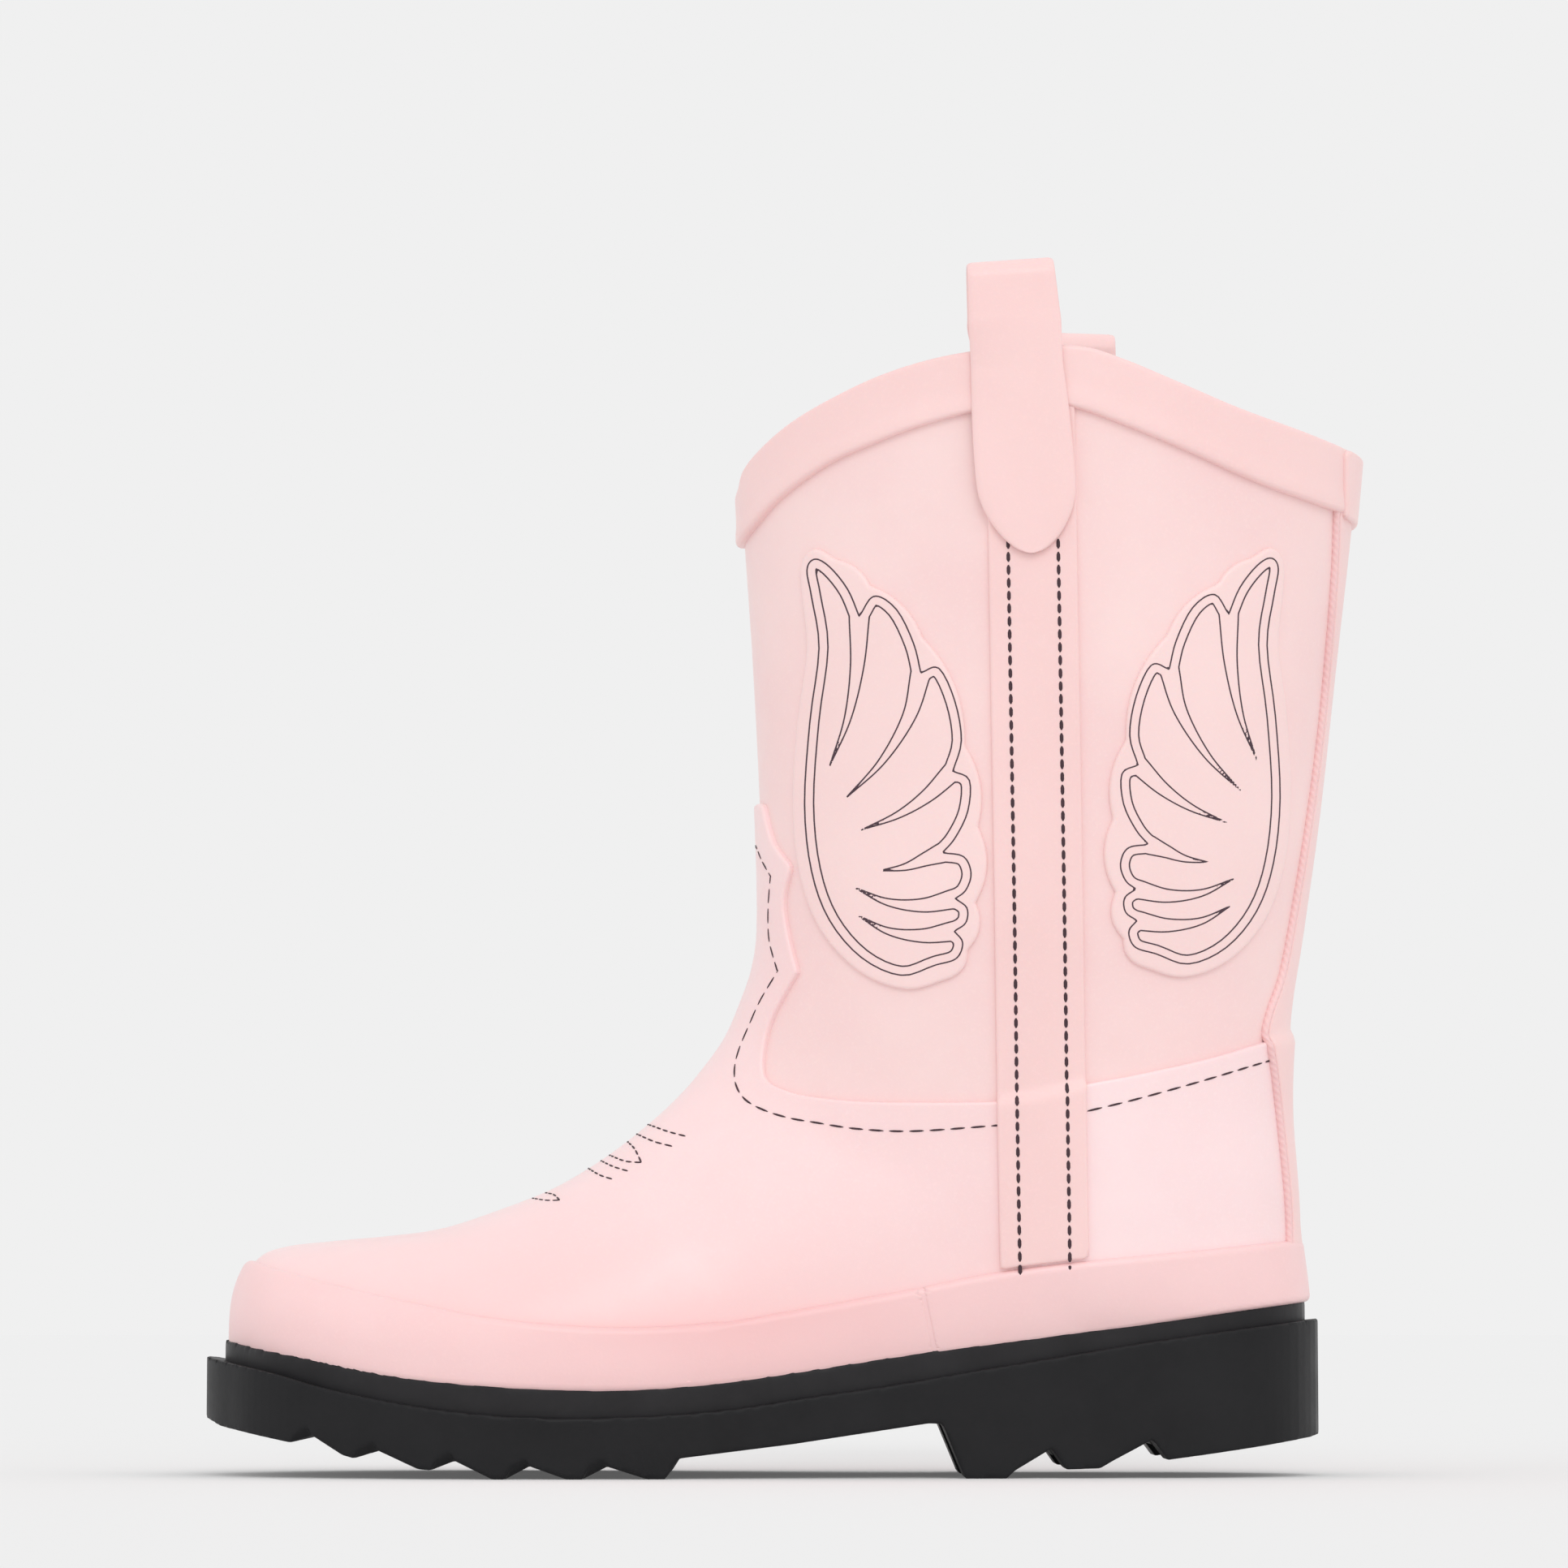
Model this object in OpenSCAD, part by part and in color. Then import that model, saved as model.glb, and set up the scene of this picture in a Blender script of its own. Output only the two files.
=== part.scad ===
// Child's rubber pull-on boot: left boot, toe towards -X, outer side towards -Y, +Z up.
// The upper is one lofted body; every upper piece is a layer at its own distance from it.

/* [Upper] */
// wall of the rubber body
body_t = 2.5; // [2:0.1:3]
// toe puff and heel stiffener buried in the body wall
stiff_t = 1; // [0.6:0.1:1.2]
// vamp, counter, strips, stay and wings laid on the body
layer_t = 1.1; // [0.8:0.1:1.4]
// fabric lining
lining_t = 1.1; // [0.8:0.1:1.5]
// rubber band round the collar
band_t = 1.3; // [1:0.1:2]
// rand round the foot
rand_t = 1.3; // [1:0.1:2]

/* [Side strips and pull straps] */
// width of the side strips
strip_w = 17; // [12:0.5:22]
// width of the bonded part of the straps
tab_w = 18.5; // [14:0.5:22]
// width of the free loop
loop_w = 17; // [12:0.5:20]
// height of the free loops over the collar
loop_h = 17; // [12:0.5:30]
// how much lower the inner loop is
inner_loop_drop = 1.6; // [0:0.2:4]
// thickness of the strap
strap_t = 1.2; // [1:0.1:1.6]
// middle of the outer side strip, measured from the shin towards the heel
outer_strip_x = 53; // [48:0.5:60]
// middle of the inner side strip
inner_strip_x = 56.5; // [48:0.5:66]

/* [Wing patches] */
// length of the rear wings against the front wings
rear_wing = 0.97; // [0.8:0.01:1]
// thickness of the wing patches
wing_t = 0.9; // [0.6:0.1:1.4]

/* [Sole] */
// step of the outsole past the midsole at the sides
ledge = 2; // [1:0.25:4]
// extra step at the toe tip
toe_ledge = 2.2; // [0:0.2:3]
// midsole past the foot of the body
midsole_out = 2.6; // [1:0.2:4]
// how far the heel of the midsole is set back
midsole_heel = 0.9; // [0:0.1:2]
// how far the heel of the outsole is set back
sole_heel = 0.4; // [0:0.1:2]
// width of the grooves between the lug rows
groove_w = 3; // [2:0.25:5]

/* [Foot bed] */
// insole board
board_t = 2; // [1:0.1:3]
// removable insole
insole_t = 3; // [2:0.25:5]

/* [Hidden] */
gap = 0.1;
side_y = 200;
// shift that puts the origin under the middle of the whole boot
home = [-5.3, 0, 0];
// front ridge of the body: shin, instep and toe
ridge = [
    [-5.5, 222], [-4, 190], [-2, 160], [-0.5, 130], [0, 109], [-1, 99.5], [-3.5, 92],
    [-6.6, 85], [-11.2, 78.5], [-16, 73], [-22.6, 67], [-30.8, 60.8], [-40.6, 55], [-52, 50.5],
    [-63, 47], [-74, 45.5], [-85, 44.5], [-93.5, 43.5], [-98.5, 41.5], [-101.5, 36], [-102.5, 28]
];
// back of the calf, heel and underside that each ridge point runs to
keel = [
    [119, 222], [116, 190], [112.5, 160], [109, 130], [105.5, 106], [103, 90], [102, 72],
    [103.2, 50], [102.8, 24], [77, 20], [50, 17], [24, 13], [-2, 9], [-27, 7],
    [-49, 7], [-67, 9], [-82, 13], [-92, 17], [-98, 20], [-101.5, 22], [-102.5, 24]
];
// half width to the outer side, half width to the inner side, sideways shift
girth = [
    [40, 40, 0], [39.5, 39.5, 0], [38.5, 38.5, 0], [36.5, 36.5, 0], [34.5, 34.5, 0],
    [33, 33, 0], [31.5, 31.5, 0], [30, 29.5, 0], [29, 28.5, 0], [28.5, 27.5, 0],
    [28.5, 27, 0], [30, 28.5, 0.5], [33, 32, 1], [35.5, 35.5, 1.5], [35.5, 36, 2],
    [33.5, 34.5, 2.5], [29, 30.5, 3], [23, 24.5, 3.5], [16, 17, 4], [8.5, 9, 4], [1, 1, 4]
];
// where along each slice the widest point lies, roundness of the rear half
shape = [
    [0.5, 2.1], [0.5, 2.1], [0.5, 2.1], [0.48, 2.1], [0.46, 2.1], [0.46, 2.1], [0.48, 2.2],
    [0.5, 2.3], [0.5, 2.3], [0.52, 2.6], [0.55, 3], [0.58, 3], [0.6, 3], [0.6, 3],
    [0.6, 3], [0.58, 3], [0.56, 2.8], [0.54, 2.6], [0.52, 2.3], [0.5, 2.1], [0.5, 2]
];
last = len(ridge) - 1;

// side-view lines, toe to heel
rim_pts = [
    [-12, 187], [-4.5, 193], [-2.8, 197.3], [1, 201], [6.5, 204.8], [14, 208.5], [24, 212.5],
    [36, 215.5], [50, 217], [61, 217], [69, 214.8], [80, 210.5], [92, 206], [104, 202.8],
    [114, 200.8], [124, 200]
];
band_pts = [
    [-12, 180], [-5, 182.5], [-1, 185.5], [4, 190], [13, 195.5], [22, 199], [31, 202],
    [42, 204.5], [52, 205.3], [60, 205], [69, 202], [82, 197], [92, 193], [101, 190.3],
    [112, 188.3], [124, 188]
];
rand_pts = [
    [-115, 44], [-101, 41.4], [-93, 38.8], [-80, 35.5], [-67, 32.8], [-52, 30.2], [-37, 28.9],
    [-27, 28.6], [-16, 29], [-5, 30.2], [10, 32.7], [30, 36.4], [45, 39.4], [62, 41.6],
    [84, 43.6], [104, 45.7], [118, 46.8]
];
foot_pts = [
    [-118, 32], [-101, 26.6], [-94, 24.6], [-83, 22], [-72, 19.8], [-58, 17.8], [-44, 16.8],
    [-30, 16.3], [-17, 17.2], [-6, 18.6], [9, 21.2], [31, 24.3], [56, 27.6], [79, 30.9],
    [102, 33.6], [118, 35.4]
];
ledge_pts = [
    [-118, 25.4], [-105, 22.3], [-94, 20], [-83, 17.1], [-67, 14], [-52, 12.2], [-37, 11.6],
    [-21, 12], [-6, 13.2], [9, 15.5], [25, 17.8], [40, 20.4], [56, 23], [71, 25.5],
    [87, 27.8], [105, 30.1], [118, 31.8]
];
// edge of the vamp from the shin to the side strip
vamp_pts = [
    [-3, 132.2], [-0.6, 131.6], [0.6, 130.5], [1.2, 127], [2.8, 122], [5.9, 117.8], [4, 111.5],
    [5.2, 104], [7.2, 97.5], [3.7, 92], [1.3, 87.5], [0.4, 82], [0.4, 78.5], [1.6, 76], [4.7, 74.3],
    [9, 73.2], [18.5, 72.3], [30, 71.9], [45, 72], [53, 72.8]
];
// edge of the counter from the side strip to the back
counter_pts = [[53, 73.2], [62, 75.3], [72, 77.2], [85, 80.2], [95, 83.3], [103, 86.3], [112, 90]];
// front edge of the back stay, top to bottom
stay_pts = [
    [112.6, 190], [112.2, 177], [111, 161], [109.4, 145], [107.2, 129], [104.6, 113.5],
    [101.6, 98], [98.8, 90], [97.8, 85], [98.8, 77], [100, 66], [101.2, 53], [101.4, 44]
];

function cr(a, t) =
    let (n = len(a) - 1, u = min(max(t, 0), n), i = min(floor(u), n - 1), f = u - i)
    let (p1 = a[i], p2 = a[i + 1])
    let (p0 = i > 0 ? a[i - 1] : 2 * p1 - p2, p3 = i + 2 <= n ? a[i + 2] : 2 * p2 - p1)
    let (c1 = p2 - p0, c2 = 2 * p0 - 5 * p1 + 4 * p2 - p3, c3 = 3 * p1 - p0 - 3 * p2 + p3)
    p1 + (c1 * f + c2 * f * f + c3 * f * f * f) / 2;
function curve(a, step) = [for (i = [0 : step : len(a) - 1 + 0.001]) cr(a, i)];
function back_to_front(a) = [for (i = [len(a) - 1 : -1 : 0]) a[i]];
function lift(a, dz) = [for (p = a) [p[0], p[1] + dz]];

foot_line = curve(foot_pts, 0.5);
function foot_z(x) = lookup(x, foot_line);

// one slice of the body and the point on it at angle p: 0 front, 90 outer side, 180 back
function slice(t) = [cr(ridge, t), cr(keel, t), cr(girth, t), cr(shape, t)];
function on_slice(s, p) =
    let (c = cos(p), n = sin(p), e = 2 / (c >= 0 ? 2.1 : s[3][1]), l0 = s[3][0])
    let (k = pow(abs(c), e), l = c >= 0 ? l0 * (1 - k) : l0 + (1 - l0) * k)
    let (w = n >= 0 ? s[2][0] : s[2][1], q = s[0] + l * (s[1] - s[0]))
    [q[0], s[2][2] - sign(n) * w * pow(abs(n), e), q[1]];
// point and outward direction at angle p, from the slices just before, at and just after
function skin_at(m, b, a, p) =
    let (v = cross(on_slice(b, p) - on_slice(a, p), on_slice(m, p + 0.5) - on_slice(m, p - 0.5)))
    [on_slice(m, p), v / norm(v)];
function skin_row(t) =
    let (a = slice(t - 0.02), m = slice(t), b = slice(t + 0.02))
    [for (j = [0 : cols - 1]) let (c = skin_at(m, b, a, 360 * j / cols)) t >= last ? [c[0], [-1, 0, 0]] : c];

cols = 28;
rows = concat([for (t = [0 : 0.2 : 1.41]) t], [2, 3], [for (t = [3.5 : 0.5 : 6.5]) t],
    [for (t = [6.8 : 0.2 : 8.21]) t], [for (t = [8.5 : 0.5 : last]) t]);
nr = len(rows);

// base grid: points of the body and their outward directions, with the toe tip as a last row
function tip_row(r) = let (m = (r[0][0] + r[cols / 2][0]) / 2) [for (j = [0 : cols - 1]) [m, [-1, 0, 0]]];
body_rows = [for (t = rows) skin_row(t)];
grid = concat(body_rows, [tip_row(body_rows[nr - 1])]);

// keeps a cut edge clear of the grid points
function clear(v) = abs(v) < 0.35 ? (v < 0 ? -0.35 : 0.35) : v;
// the part of a triangle of [outer point, inner point, field] corners where the field is above 0
function mix(p, q) = let (k = p[2] / (p[2] - q[2])) [p[0] + (q[0] - p[0]) * k, p[1] + (q[1] - p[1]) * k, 0];
function kept(t) = [for (i = [0 : 2])
    let (p = t[i], q = t[(i + 1) % 3])
    each (p[2] > 0 ? (q[2] > 0 ? [p] : [p, mix(p, q)]) : (q[2] > 0 ? [mix(p, q)] : []))];
function patch_faces(t) =
    let (k = kept(t), n = len(k))
    n == 0 ? [] : concat(
        [[for (p = k) p[0]], [for (i = [n - 1 : -1 : 0]) k[i][1]]],
        [for (i = [0 : n - 1]) let (p = k[i], q = k[(i + 1) % n])
            if (p[2] == 0 && q[2] == 0) each [[q[0], p[0], p[1]], [q[0], p[1], q[1]]]]);
module faces_solid(faces) {
    at = [for (i = 0, n = 0; i < len(faces); n = n + len(faces[i]), i = i + 1) n];
    translate(home)
        polyhedron([for (f = faces) each f],
            [for (i = [0 : len(faces) - 1]) [for (k = [0 : len(faces[i]) - 1]) at[i] + k]]);
}
// a layer on the body from depth din to depth dout, where the field is above 0; the field takes
// the body's point and the point at depth dout
module layer(din, dout, field) {
    node_grid = [for (r = grid) [for (c = r)
        let (q = c[0] + c[1] * dout(c[0])) [q, c[0] + c[1] * din(c[0]), clear(field(c[0], q))]]];
    tris = [for (i = [0 : nr - 1], j = [0 : cols - 1])
        let (a = node_grid[i][j], b = node_grid[i][(j + 1) % cols])
        let (c = node_grid[i + 1][j], d = node_grid[i + 1][(j + 1) % cols])
        each (i < nr - 1 ? [[a, c, b], [b, c, d]] : [[a, c, b]])];
    faces_solid([for (t = tris) each patch_faces(t)]);
}
function flat(d) = function (p) d;

// side-view outline run through the whole boot
module cut(pts) rotate([90, 0, 0]) linear_extrude(side_y, center = true) polygon(pts);

rim_line = curve(rim_pts, 0.5);
band_line = curve(band_pts, 0.5);
rand_line = curve(rand_pts, 0.5);
ledge_line = curve(ledge_pts, 0.5);
counter_line = curve(counter_pts, 0.5);
function swap(a) = [for (i = [len(a) - 1 : -1 : 0]) [a[i][1], a[i][0]]];
neck_line = concat([[70, 30]], swap([for (p = vamp_pts) if (p[1] > 76) p]));
low_line = concat([for (p = vamp_pts) if (p[1] < 76 && p[0] > 4) p], counter_line);
stay_edge = swap(curve(stay_pts, 0.5));

function rim_f(p, d) = lookup(p[0], rim_line) + d - p[2];
function band_f(p) = p[2] - lookup(p[0], band_line);
function rand_f(p) = lookup(p[0], rand_line) - p[2];
function foot_f(p, d) = p[2] - foot_z(p[0]) - d;
function vamp_f(p) = p[2] > 76 ? min(lookup(p[2], neck_line) - p[0], 132 - p[2])
    : (p[0] < 4 ? 3 : lookup(p[0], low_line) - p[2]);
function step_f(p) = lookup(p[0], low_line) - p[2];
// depth of a strip that climbs over the edge of the vamp or counter
function over(d) = function (p) d + (step_f(p) > -8 && p[2] < 94 ? gap + layer_t : 0);
function toe_pocket(p) = p[0] < -52;
function heel_pocket(p) = p[0] > 50 && p[2] < 76;

// the foot of the body where it meets the sole, run out sideways
function foot_cross(t, s, a, b, i) = i == 0 ? (a + b) / 2 :
    let (m = (a + b) / 2, p = on_slice(slice(t), s * m))
    p[2] > foot_z(p[0]) ? foot_cross(t, s, m, b, i - 1) : foot_cross(t, s, a, m, i - 1);
function heel_t(a, b, i) = i == 0 ? (a + b) / 2 :
    let (m = (a + b) / 2, p = cr(keel, m))
    p[1] > foot_z(p[0]) ? heel_t(m, b, i - 1) : heel_t(a, m, i - 1);
t_heel = heel_t(7, 8, 14);
plan_steps = 22;
function plan_t(i) = let (u = i / plan_steps) t_heel + (19.9 - t_heel) * (u - sin(360 * u) / 2 / PI * 0.8);
function plan_pt(i, s) =
    let (t = plan_t(i), a = foot_cross(t, s, 40, 180, 14), p = on_slice(slice(t), s * a)) [p[0], p[1]];
foot_plan = concat(
    [[cr(keel, t_heel)[0], 0]],
    [for (i = [1 : plan_steps]) plan_pt(i, 1)],
    [for (i = [plan_steps : -1 : 1]) plan_pt(i, -1)]
);
function ease(v) = let (f = min(max(v, 0), 1)) f * f * (3 - 2 * f);
function plan_out(d, tip, heel) = let (n = len(foot_plan)) [for (i = [0 : n - 1])
    let (p = foot_plan[i], v = foot_plan[(i + 2) % n] - foot_plan[(i + n - 2) % n])
    let (u = [v[1], -v[0]] / norm(v))
    p - u * (d + tip * ease((-60 - p[0]) / 40) - heel * ease((p[0] - 60) / 35))];
module plan_solid(d, tip, heel) linear_extrude(60) polygon(plan_out(d, tip, heel));
// plate that follows the sole line, between two heights over it
module foot_plate(d, low, high) translate(home) intersection() {
    plan_solid(d, 0, 0);
    cut(concat(lift(foot_line, high), back_to_front(lift(foot_line, low))));
}

// outsole, side view, toe to heel; the outer and inner lug rows share one saw-tooth run
tread = [
    [118, 9.2], [105.7, 7.5], [96, 6], [86, 4.6], [77.7, 3.5], [74.8, 7.4], [67.1, 3.3],
    [64.7, 1.9], [58.2, 1.7],
    [55.4, 5.7], [48.2, 1.4], [46.8, 0], [38.8, 0], [34.5, 10.4], [31.9, 10.5], [6, 6.6],
    [-15.9, 3.9], [-18.4, 0], [-21.8, 0], [-31.5, 3.2], [-34.1, 0], [-37.1, 0], [-46.2, 3.3],
    [-48.8, 0], [-51.2, 0], [-60.4, 4.6], [-63, 1.7], [-65.4, 1.9], [-75.3, 6.5], [-77.8, 3.9],
    [-80, 4.5], [-88.1, 9.5], [-90.3, 6.8], [-96.5, 8], [-105, 9.7], [-112, 12.4]
];
// bottom of the plate the lugs stand on
plate = [
    [112, 11.5], [96, 9.5], [78, 7.5], [56, 6.5], [34.5, 10.4], [6, 6.6], [-15.9, 4.2], [-31.5, 3.4],
    [-46.2, 3.6], [-60.4, 4.9], [-75.3, 6.8], [-88.1, 9.8], [-95, 11], [-99, 8.4],
    [-105, 9.6], [-112, 12.3]
];
// middle row, set half a lug back
middle = [
    [118, 9.3], [96, 6.2], [86, 4.8], [84, 8.5], [77, 8], [75, 3.5], [66, 2.2], [64, 7], [58, 6.8],
    [56, 1.2], [45, 0.6],
    [43, 9], [34.5, 10.4], [6, 6.6], [0, 5.2], [-2, 1], [-12, 0.6], [-14, 4.2], [-23, 4], [-25, 0.4],
    [-29, 0.4], [-38, 3.5], [-40, 0.4], [-43, 0.4], [-53, 4], [-55, 1], [-58, 1.2], [-67.5, 5.6],
    [-69.5, 2.6], [-72, 3], [-82, 8], [-84, 5.4], [-88, 6.4], [-96.5, 8.2], [-105, 9.8], [-112, 12.5]
];
module outsole() color([0.16, 0.16, 0.17]) translate(home) difference() {
    intersection() {
        plan_solid(midsole_out + ledge, toe_ledge, sole_heel);
        cut(concat(ledge_line, tread));
    }
    for (s = [-1, 1])
        translate([0, s * 11, 0])
            intersection() {
                cube([230, groove_w, 60], center = true);
                cut(concat(plate, [[-112, -5], [112, -5]]));
            }
    intersection() {
        cube([230, 22 - groove_w + 0.02, 60], center = true);
        cut(concat(middle, [[-112, -5], [118, -5]]));
    }
}

module midsole() color([0.2, 0.2, 0.21]) translate(home) intersection() {
    plan_solid(midsole_out, 0.6, midsole_heel);
    cut(concat(lift(foot_line, -gap), back_to_front(lift(ledge_line, gap))));
}

floor_t = 1.2;
module insole_board() color([0.78, 0.68, 0.52]) foot_plate(-body_t - 0.7, gap, gap + board_t);
module lining_sole() color([0.93, 0.86, 0.85])
    foot_plate(-body_t - 0.7, 2 * gap + board_t, 2 * gap + board_t + floor_t);
insole_z = 3 * gap + board_t + floor_t;
module insole() color([0.9, 0.8, 0.8])
    foot_plate(-body_t - lining_t - 3, insole_z, insole_z + insole_t);

module lining() color([0.93, 0.86, 0.85])
    layer(flat(-body_t - gap - lining_t), flat(-body_t - gap),
        function (p, q) min(rim_f(p, -0.8), foot_f(p, insole_z)));

module toe_puff() color([0.85, 0.82, 0.75])
    layer(flat(-body_t), flat(stiff_t - body_t), function (p, q) min(-66 - p[0], foot_f(p, 2.8)));

module heel_stiffener() color([0.85, 0.82, 0.75])
    layer(flat(-body_t), flat(stiff_t - body_t),
        function (p, q) min(p[0] - 62, 62 - p[2], foot_f(p, 2.8)));

module boot_shell() color([0.98, 0.83, 0.83])
    layer(function (p) (toe_pocket(p) || heel_pocket(p) ? stiff_t + gap : 0) - body_t, flat(0),
        function (p, q) min(rim_f(p, -0.5), foot_f(p, 0)));

module vamp() color([0.99, 0.85, 0.84])
    layer(flat(gap), flat(gap + layer_t), function (p, q) min(vamp_f(p), 52.8 - p[0], foot_f(q, 0.4)));

module counter() color([0.99, 0.85, 0.84])
    layer(flat(gap), flat(gap + layer_t), function (p, q) min(step_f(p), p[0] - 53.2, foot_f(q, 0.4)));

rand_in = 2 * gap + layer_t;
module toe_rand() color([0.98, 0.83, 0.83])
    layer(flat(rand_in), flat(rand_in + rand_t),
        function (p, q) min(rand_f(p), foot_f(q, 0.5), 37.6 - p[2] * 0.2 - p[0]));
module heel_rand() color([0.98, 0.83, 0.83])
    layer(flat(rand_in), flat(rand_in + rand_t),
        function (p, q) min(rand_f(p), foot_f(q, 0.5), p[0] + p[2] * 0.2 - 38));

module back_stay() color([0.97, 0.82, 0.81])
    layer(over(gap), over(gap + layer_t),
        function (p, q) min(p[0] - lookup(p[2], stay_edge), -0.4 - rand_f(p), -0.4 - band_f(p)));

module collar_band() color([0.99, 0.86, 0.86])
    layer(flat(gap), flat(gap + band_t), function (p, q) min(rim_f(p, 0), band_f(p)));

module collar_patch() color([0.98, 0.84, 0.84])
    layer(flat(2 * gap + band_t), flat(2 * gap + band_t + 0.8),
        function (p, q) min(rim_f(p, -0.3), band_f(p) - 0.3, p[0] - 112.8));

module side_strip(x, side)
    layer(over(gap), over(gap + layer_t),
        function (p, q) min(strip_w / 2 - abs(p[0] - x - (180 - p[2]) * 0.015),
            -0.4 - band_f(p), -0.4 - rand_f(p), side * p[1] - 5));
module outer_side_strip() color([0.98, 0.84, 0.83]) side_strip(outer_strip_x - 1, -1);
module inner_side_strip() color([0.98, 0.84, 0.83]) side_strip(inner_strip_x - 1, 1);

// the body slice through a side-view point, and the point on the body seen there from one side
function find_t(x, z, a, b, i) = i == 0 ? (a + b) / 2 :
    let (m = (a + b) / 2, f = cr(ridge, m), k = cr(keel, m) - f)
    k[0] * (z - f[1]) < k[1] * (x - f[0]) ? find_t(x, z, m, b, i - 1) : find_t(x, z, a, m, i - 1);
function find_p(s, x, z) =
    let (k = s[1] - s[0], l0 = s[3][0])
    let (l = min(max(((x - s[0][0]) * k[0] + (z - s[0][1]) * k[1]) / (k * k), 0), 1))
    l < l0 ? acos(pow(1 - l / l0, 1.05)) : 180 - acos(pow((l - l0) / (1 - l0), s[3][1] / 2));
// [point, direction] on the body, side -1 outer, 1 inner
function seen(x, z, side) =
    let (t = find_t(x, z, 0, last, 18), s = slice(t), p = find_p(s, x, z))
    skin_at(s, slice(t + 0.02), slice(t - 0.02), side < 0 ? p : 360 - p);
// sheet between two depths over a side-view grid of [x, z] rows, closed all round
module side_sheet(g, side, din, dout) {
    n = len(g);
    m = len(g[0]);
    q = [for (r = side < 0 ? g : back_to_front(g)) [for (p = r) seen(p[0], p[1], side)]];
    pts = concat(
        [for (r = q, c = r) c[0] + dout * c[1]],
        [for (r = q, c = r) c[0] + din * c[1]]);
    k = n * m;
    face = [for (i = [0 : n - 2], j = [0 : m - 2])
        let (a = i * m + j)
        each [[a, a + 1, a + m], [a + 1, a + m + 1, a + m],
            [k + a, k + a + m, k + a + 1], [k + a + 1, k + a + m, k + a + m + 1]]];
    rimi = concat(
        [for (j = [0 : m - 2]) j], [for (i = [0 : n - 2]) i * m + m - 1],
        [for (j = [m - 1 : -1 : 1]) (n - 1) * m + j], [for (i = [n - 1 : -1 : 1]) i * m]);
    r = len(rimi);
    side_faces = [for (i = [0 : r - 1])
        let (a = rimi[i], b = rimi[(i + 1) % r])
        each [[a, k + a, b], [b, k + a, k + b]]];
    translate(home) polyhedron(pts, concat(face, side_faces), convexity = 8);
}

hinge_z = 217;
outer_loop = [48.9, -38.8];
inner_loop = [63.3, 38.4];
// bonded strap, top to bottom: [height, half width], ending in a rounded point
tab_rows = [
    [-0.6, 8.6], [-7, 8.9], [-14, 9.25], [-21, 9.4], [-27, 9.4], [-31, 8.7], [-34, 7.4],
    [-36.5, 5.8], [-38.6, 3.6], [-40, 1]
];
function tab_grid(x, lean, w) = [for (r = tab_rows) [for (k = [-1 : 0.25 : 1])
    [x - lean * r[0] + k * r[1] * w / 18.5, hinge_z + r[0]]]];
tab_in = 2 * gap + band_t;
module strap_tab(x, lean, side) side_sheet(tab_grid(x, lean, tab_w), side, tab_in, tab_in + strap_t);
anchor_in = body_t + lining_t + 4 * gap;
module strap_anchor(x, lean, side)
    side_sheet([for (z = [-1.2 : -6 : -26])
        [for (k = [-8.5 : 17 / 6 : 8.6]) [x - lean * z + k, hinge_z + z]]],
        side, -anchor_in - strap_t, -anchor_in);
module outer_strap_tab() color([0.98, 0.83, 0.82]) strap_tab(outer_loop[0], 0.07, -1);
module inner_strap_tab() color([0.98, 0.83, 0.82]) strap_tab(inner_loop[0], -0.13, 1);
module outer_strap_anchor() color([0.98, 0.83, 0.82]) strap_anchor(outer_loop[0], 0.07, -1);
module inner_strap_anchor() color([0.98, 0.83, 0.82]) strap_anchor(inner_loop[0], -0.13, 1);

// raised cord along the front edge of the back stay
module stay_cord(side) {
    line = [for (p = curve(stay_pts, 0.5)) if (p[1] < lookup(p[0], band_line) - 1 && p[1] > 47) p];
    n = len(line);
    q = [for (p = line)
        let (c = seen(p[0] - 1.1, p[1], side), d = over(0)([p[0], 0, p[1]]))
        let (o = c[0] + c[1] * (d + 0.95), w = cross(c[1], [0, 0, 1]))
        [for (a = [0 : 60 : 300]) o + 0.6 * (cos(a) * c[1] + sin(a) * w / norm(w))]];
    pts = [for (r = q) each r];
    wall = [for (i = [0 : n - 2], j = [0 : 5])
        let (a = i * 6 + j, b = i * 6 + (j + 1) % 6) each [[a, b, a + 6], [b, b + 6, a + 6]]];
    ends = [[5, 4, 3, 2, 1, 0], [for (j = [0 : 5]) (n - 1) * 6 + j]];
    translate(home) polyhedron(pts, concat(wall, ends), convexity = 8);
}
module outer_stay_cord() color([0.95, 0.79, 0.8]) stay_cord(-1);
module inner_stay_cord() color([0.95, 0.79, 0.8]) stay_cord(1);

// free loop over the collar edge, open through X
module pull_loop(at, lean, drop) {
    r = 3.85;
    top = loop_h - drop - r;
    translate(home + [at[0], at[1], hinge_z])
        rotate([0, lean, 0])
            difference() {
                union() {
                    translate([-loop_w / 2, -r, 2.6]) cube([loop_w, 2 * r, top - 2.6]);
                    translate([0, 0, top])
                        rotate([0, 90, 0]) cylinder(r = r, h = loop_w, center = true, $fn = 96);
                }
                translate([-loop_w, -r + strap_t, 0]) cube([2 * loop_w, 2 * r - 2 * strap_t, top]);
                translate([0, 0, top]) rotate([0, 90, 0])
                    cylinder(r = r - strap_t, h = 2 * loop_w, center = true, $fn = 96);
            }
}
module outer_pull_loop() color([0.99, 0.86, 0.85]) pull_loop(outer_loop, -4, 0);
module inner_pull_loop() color([0.99, 0.86, 0.85]) pull_loop(inner_loop, 2, inner_loop_drop);

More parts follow.
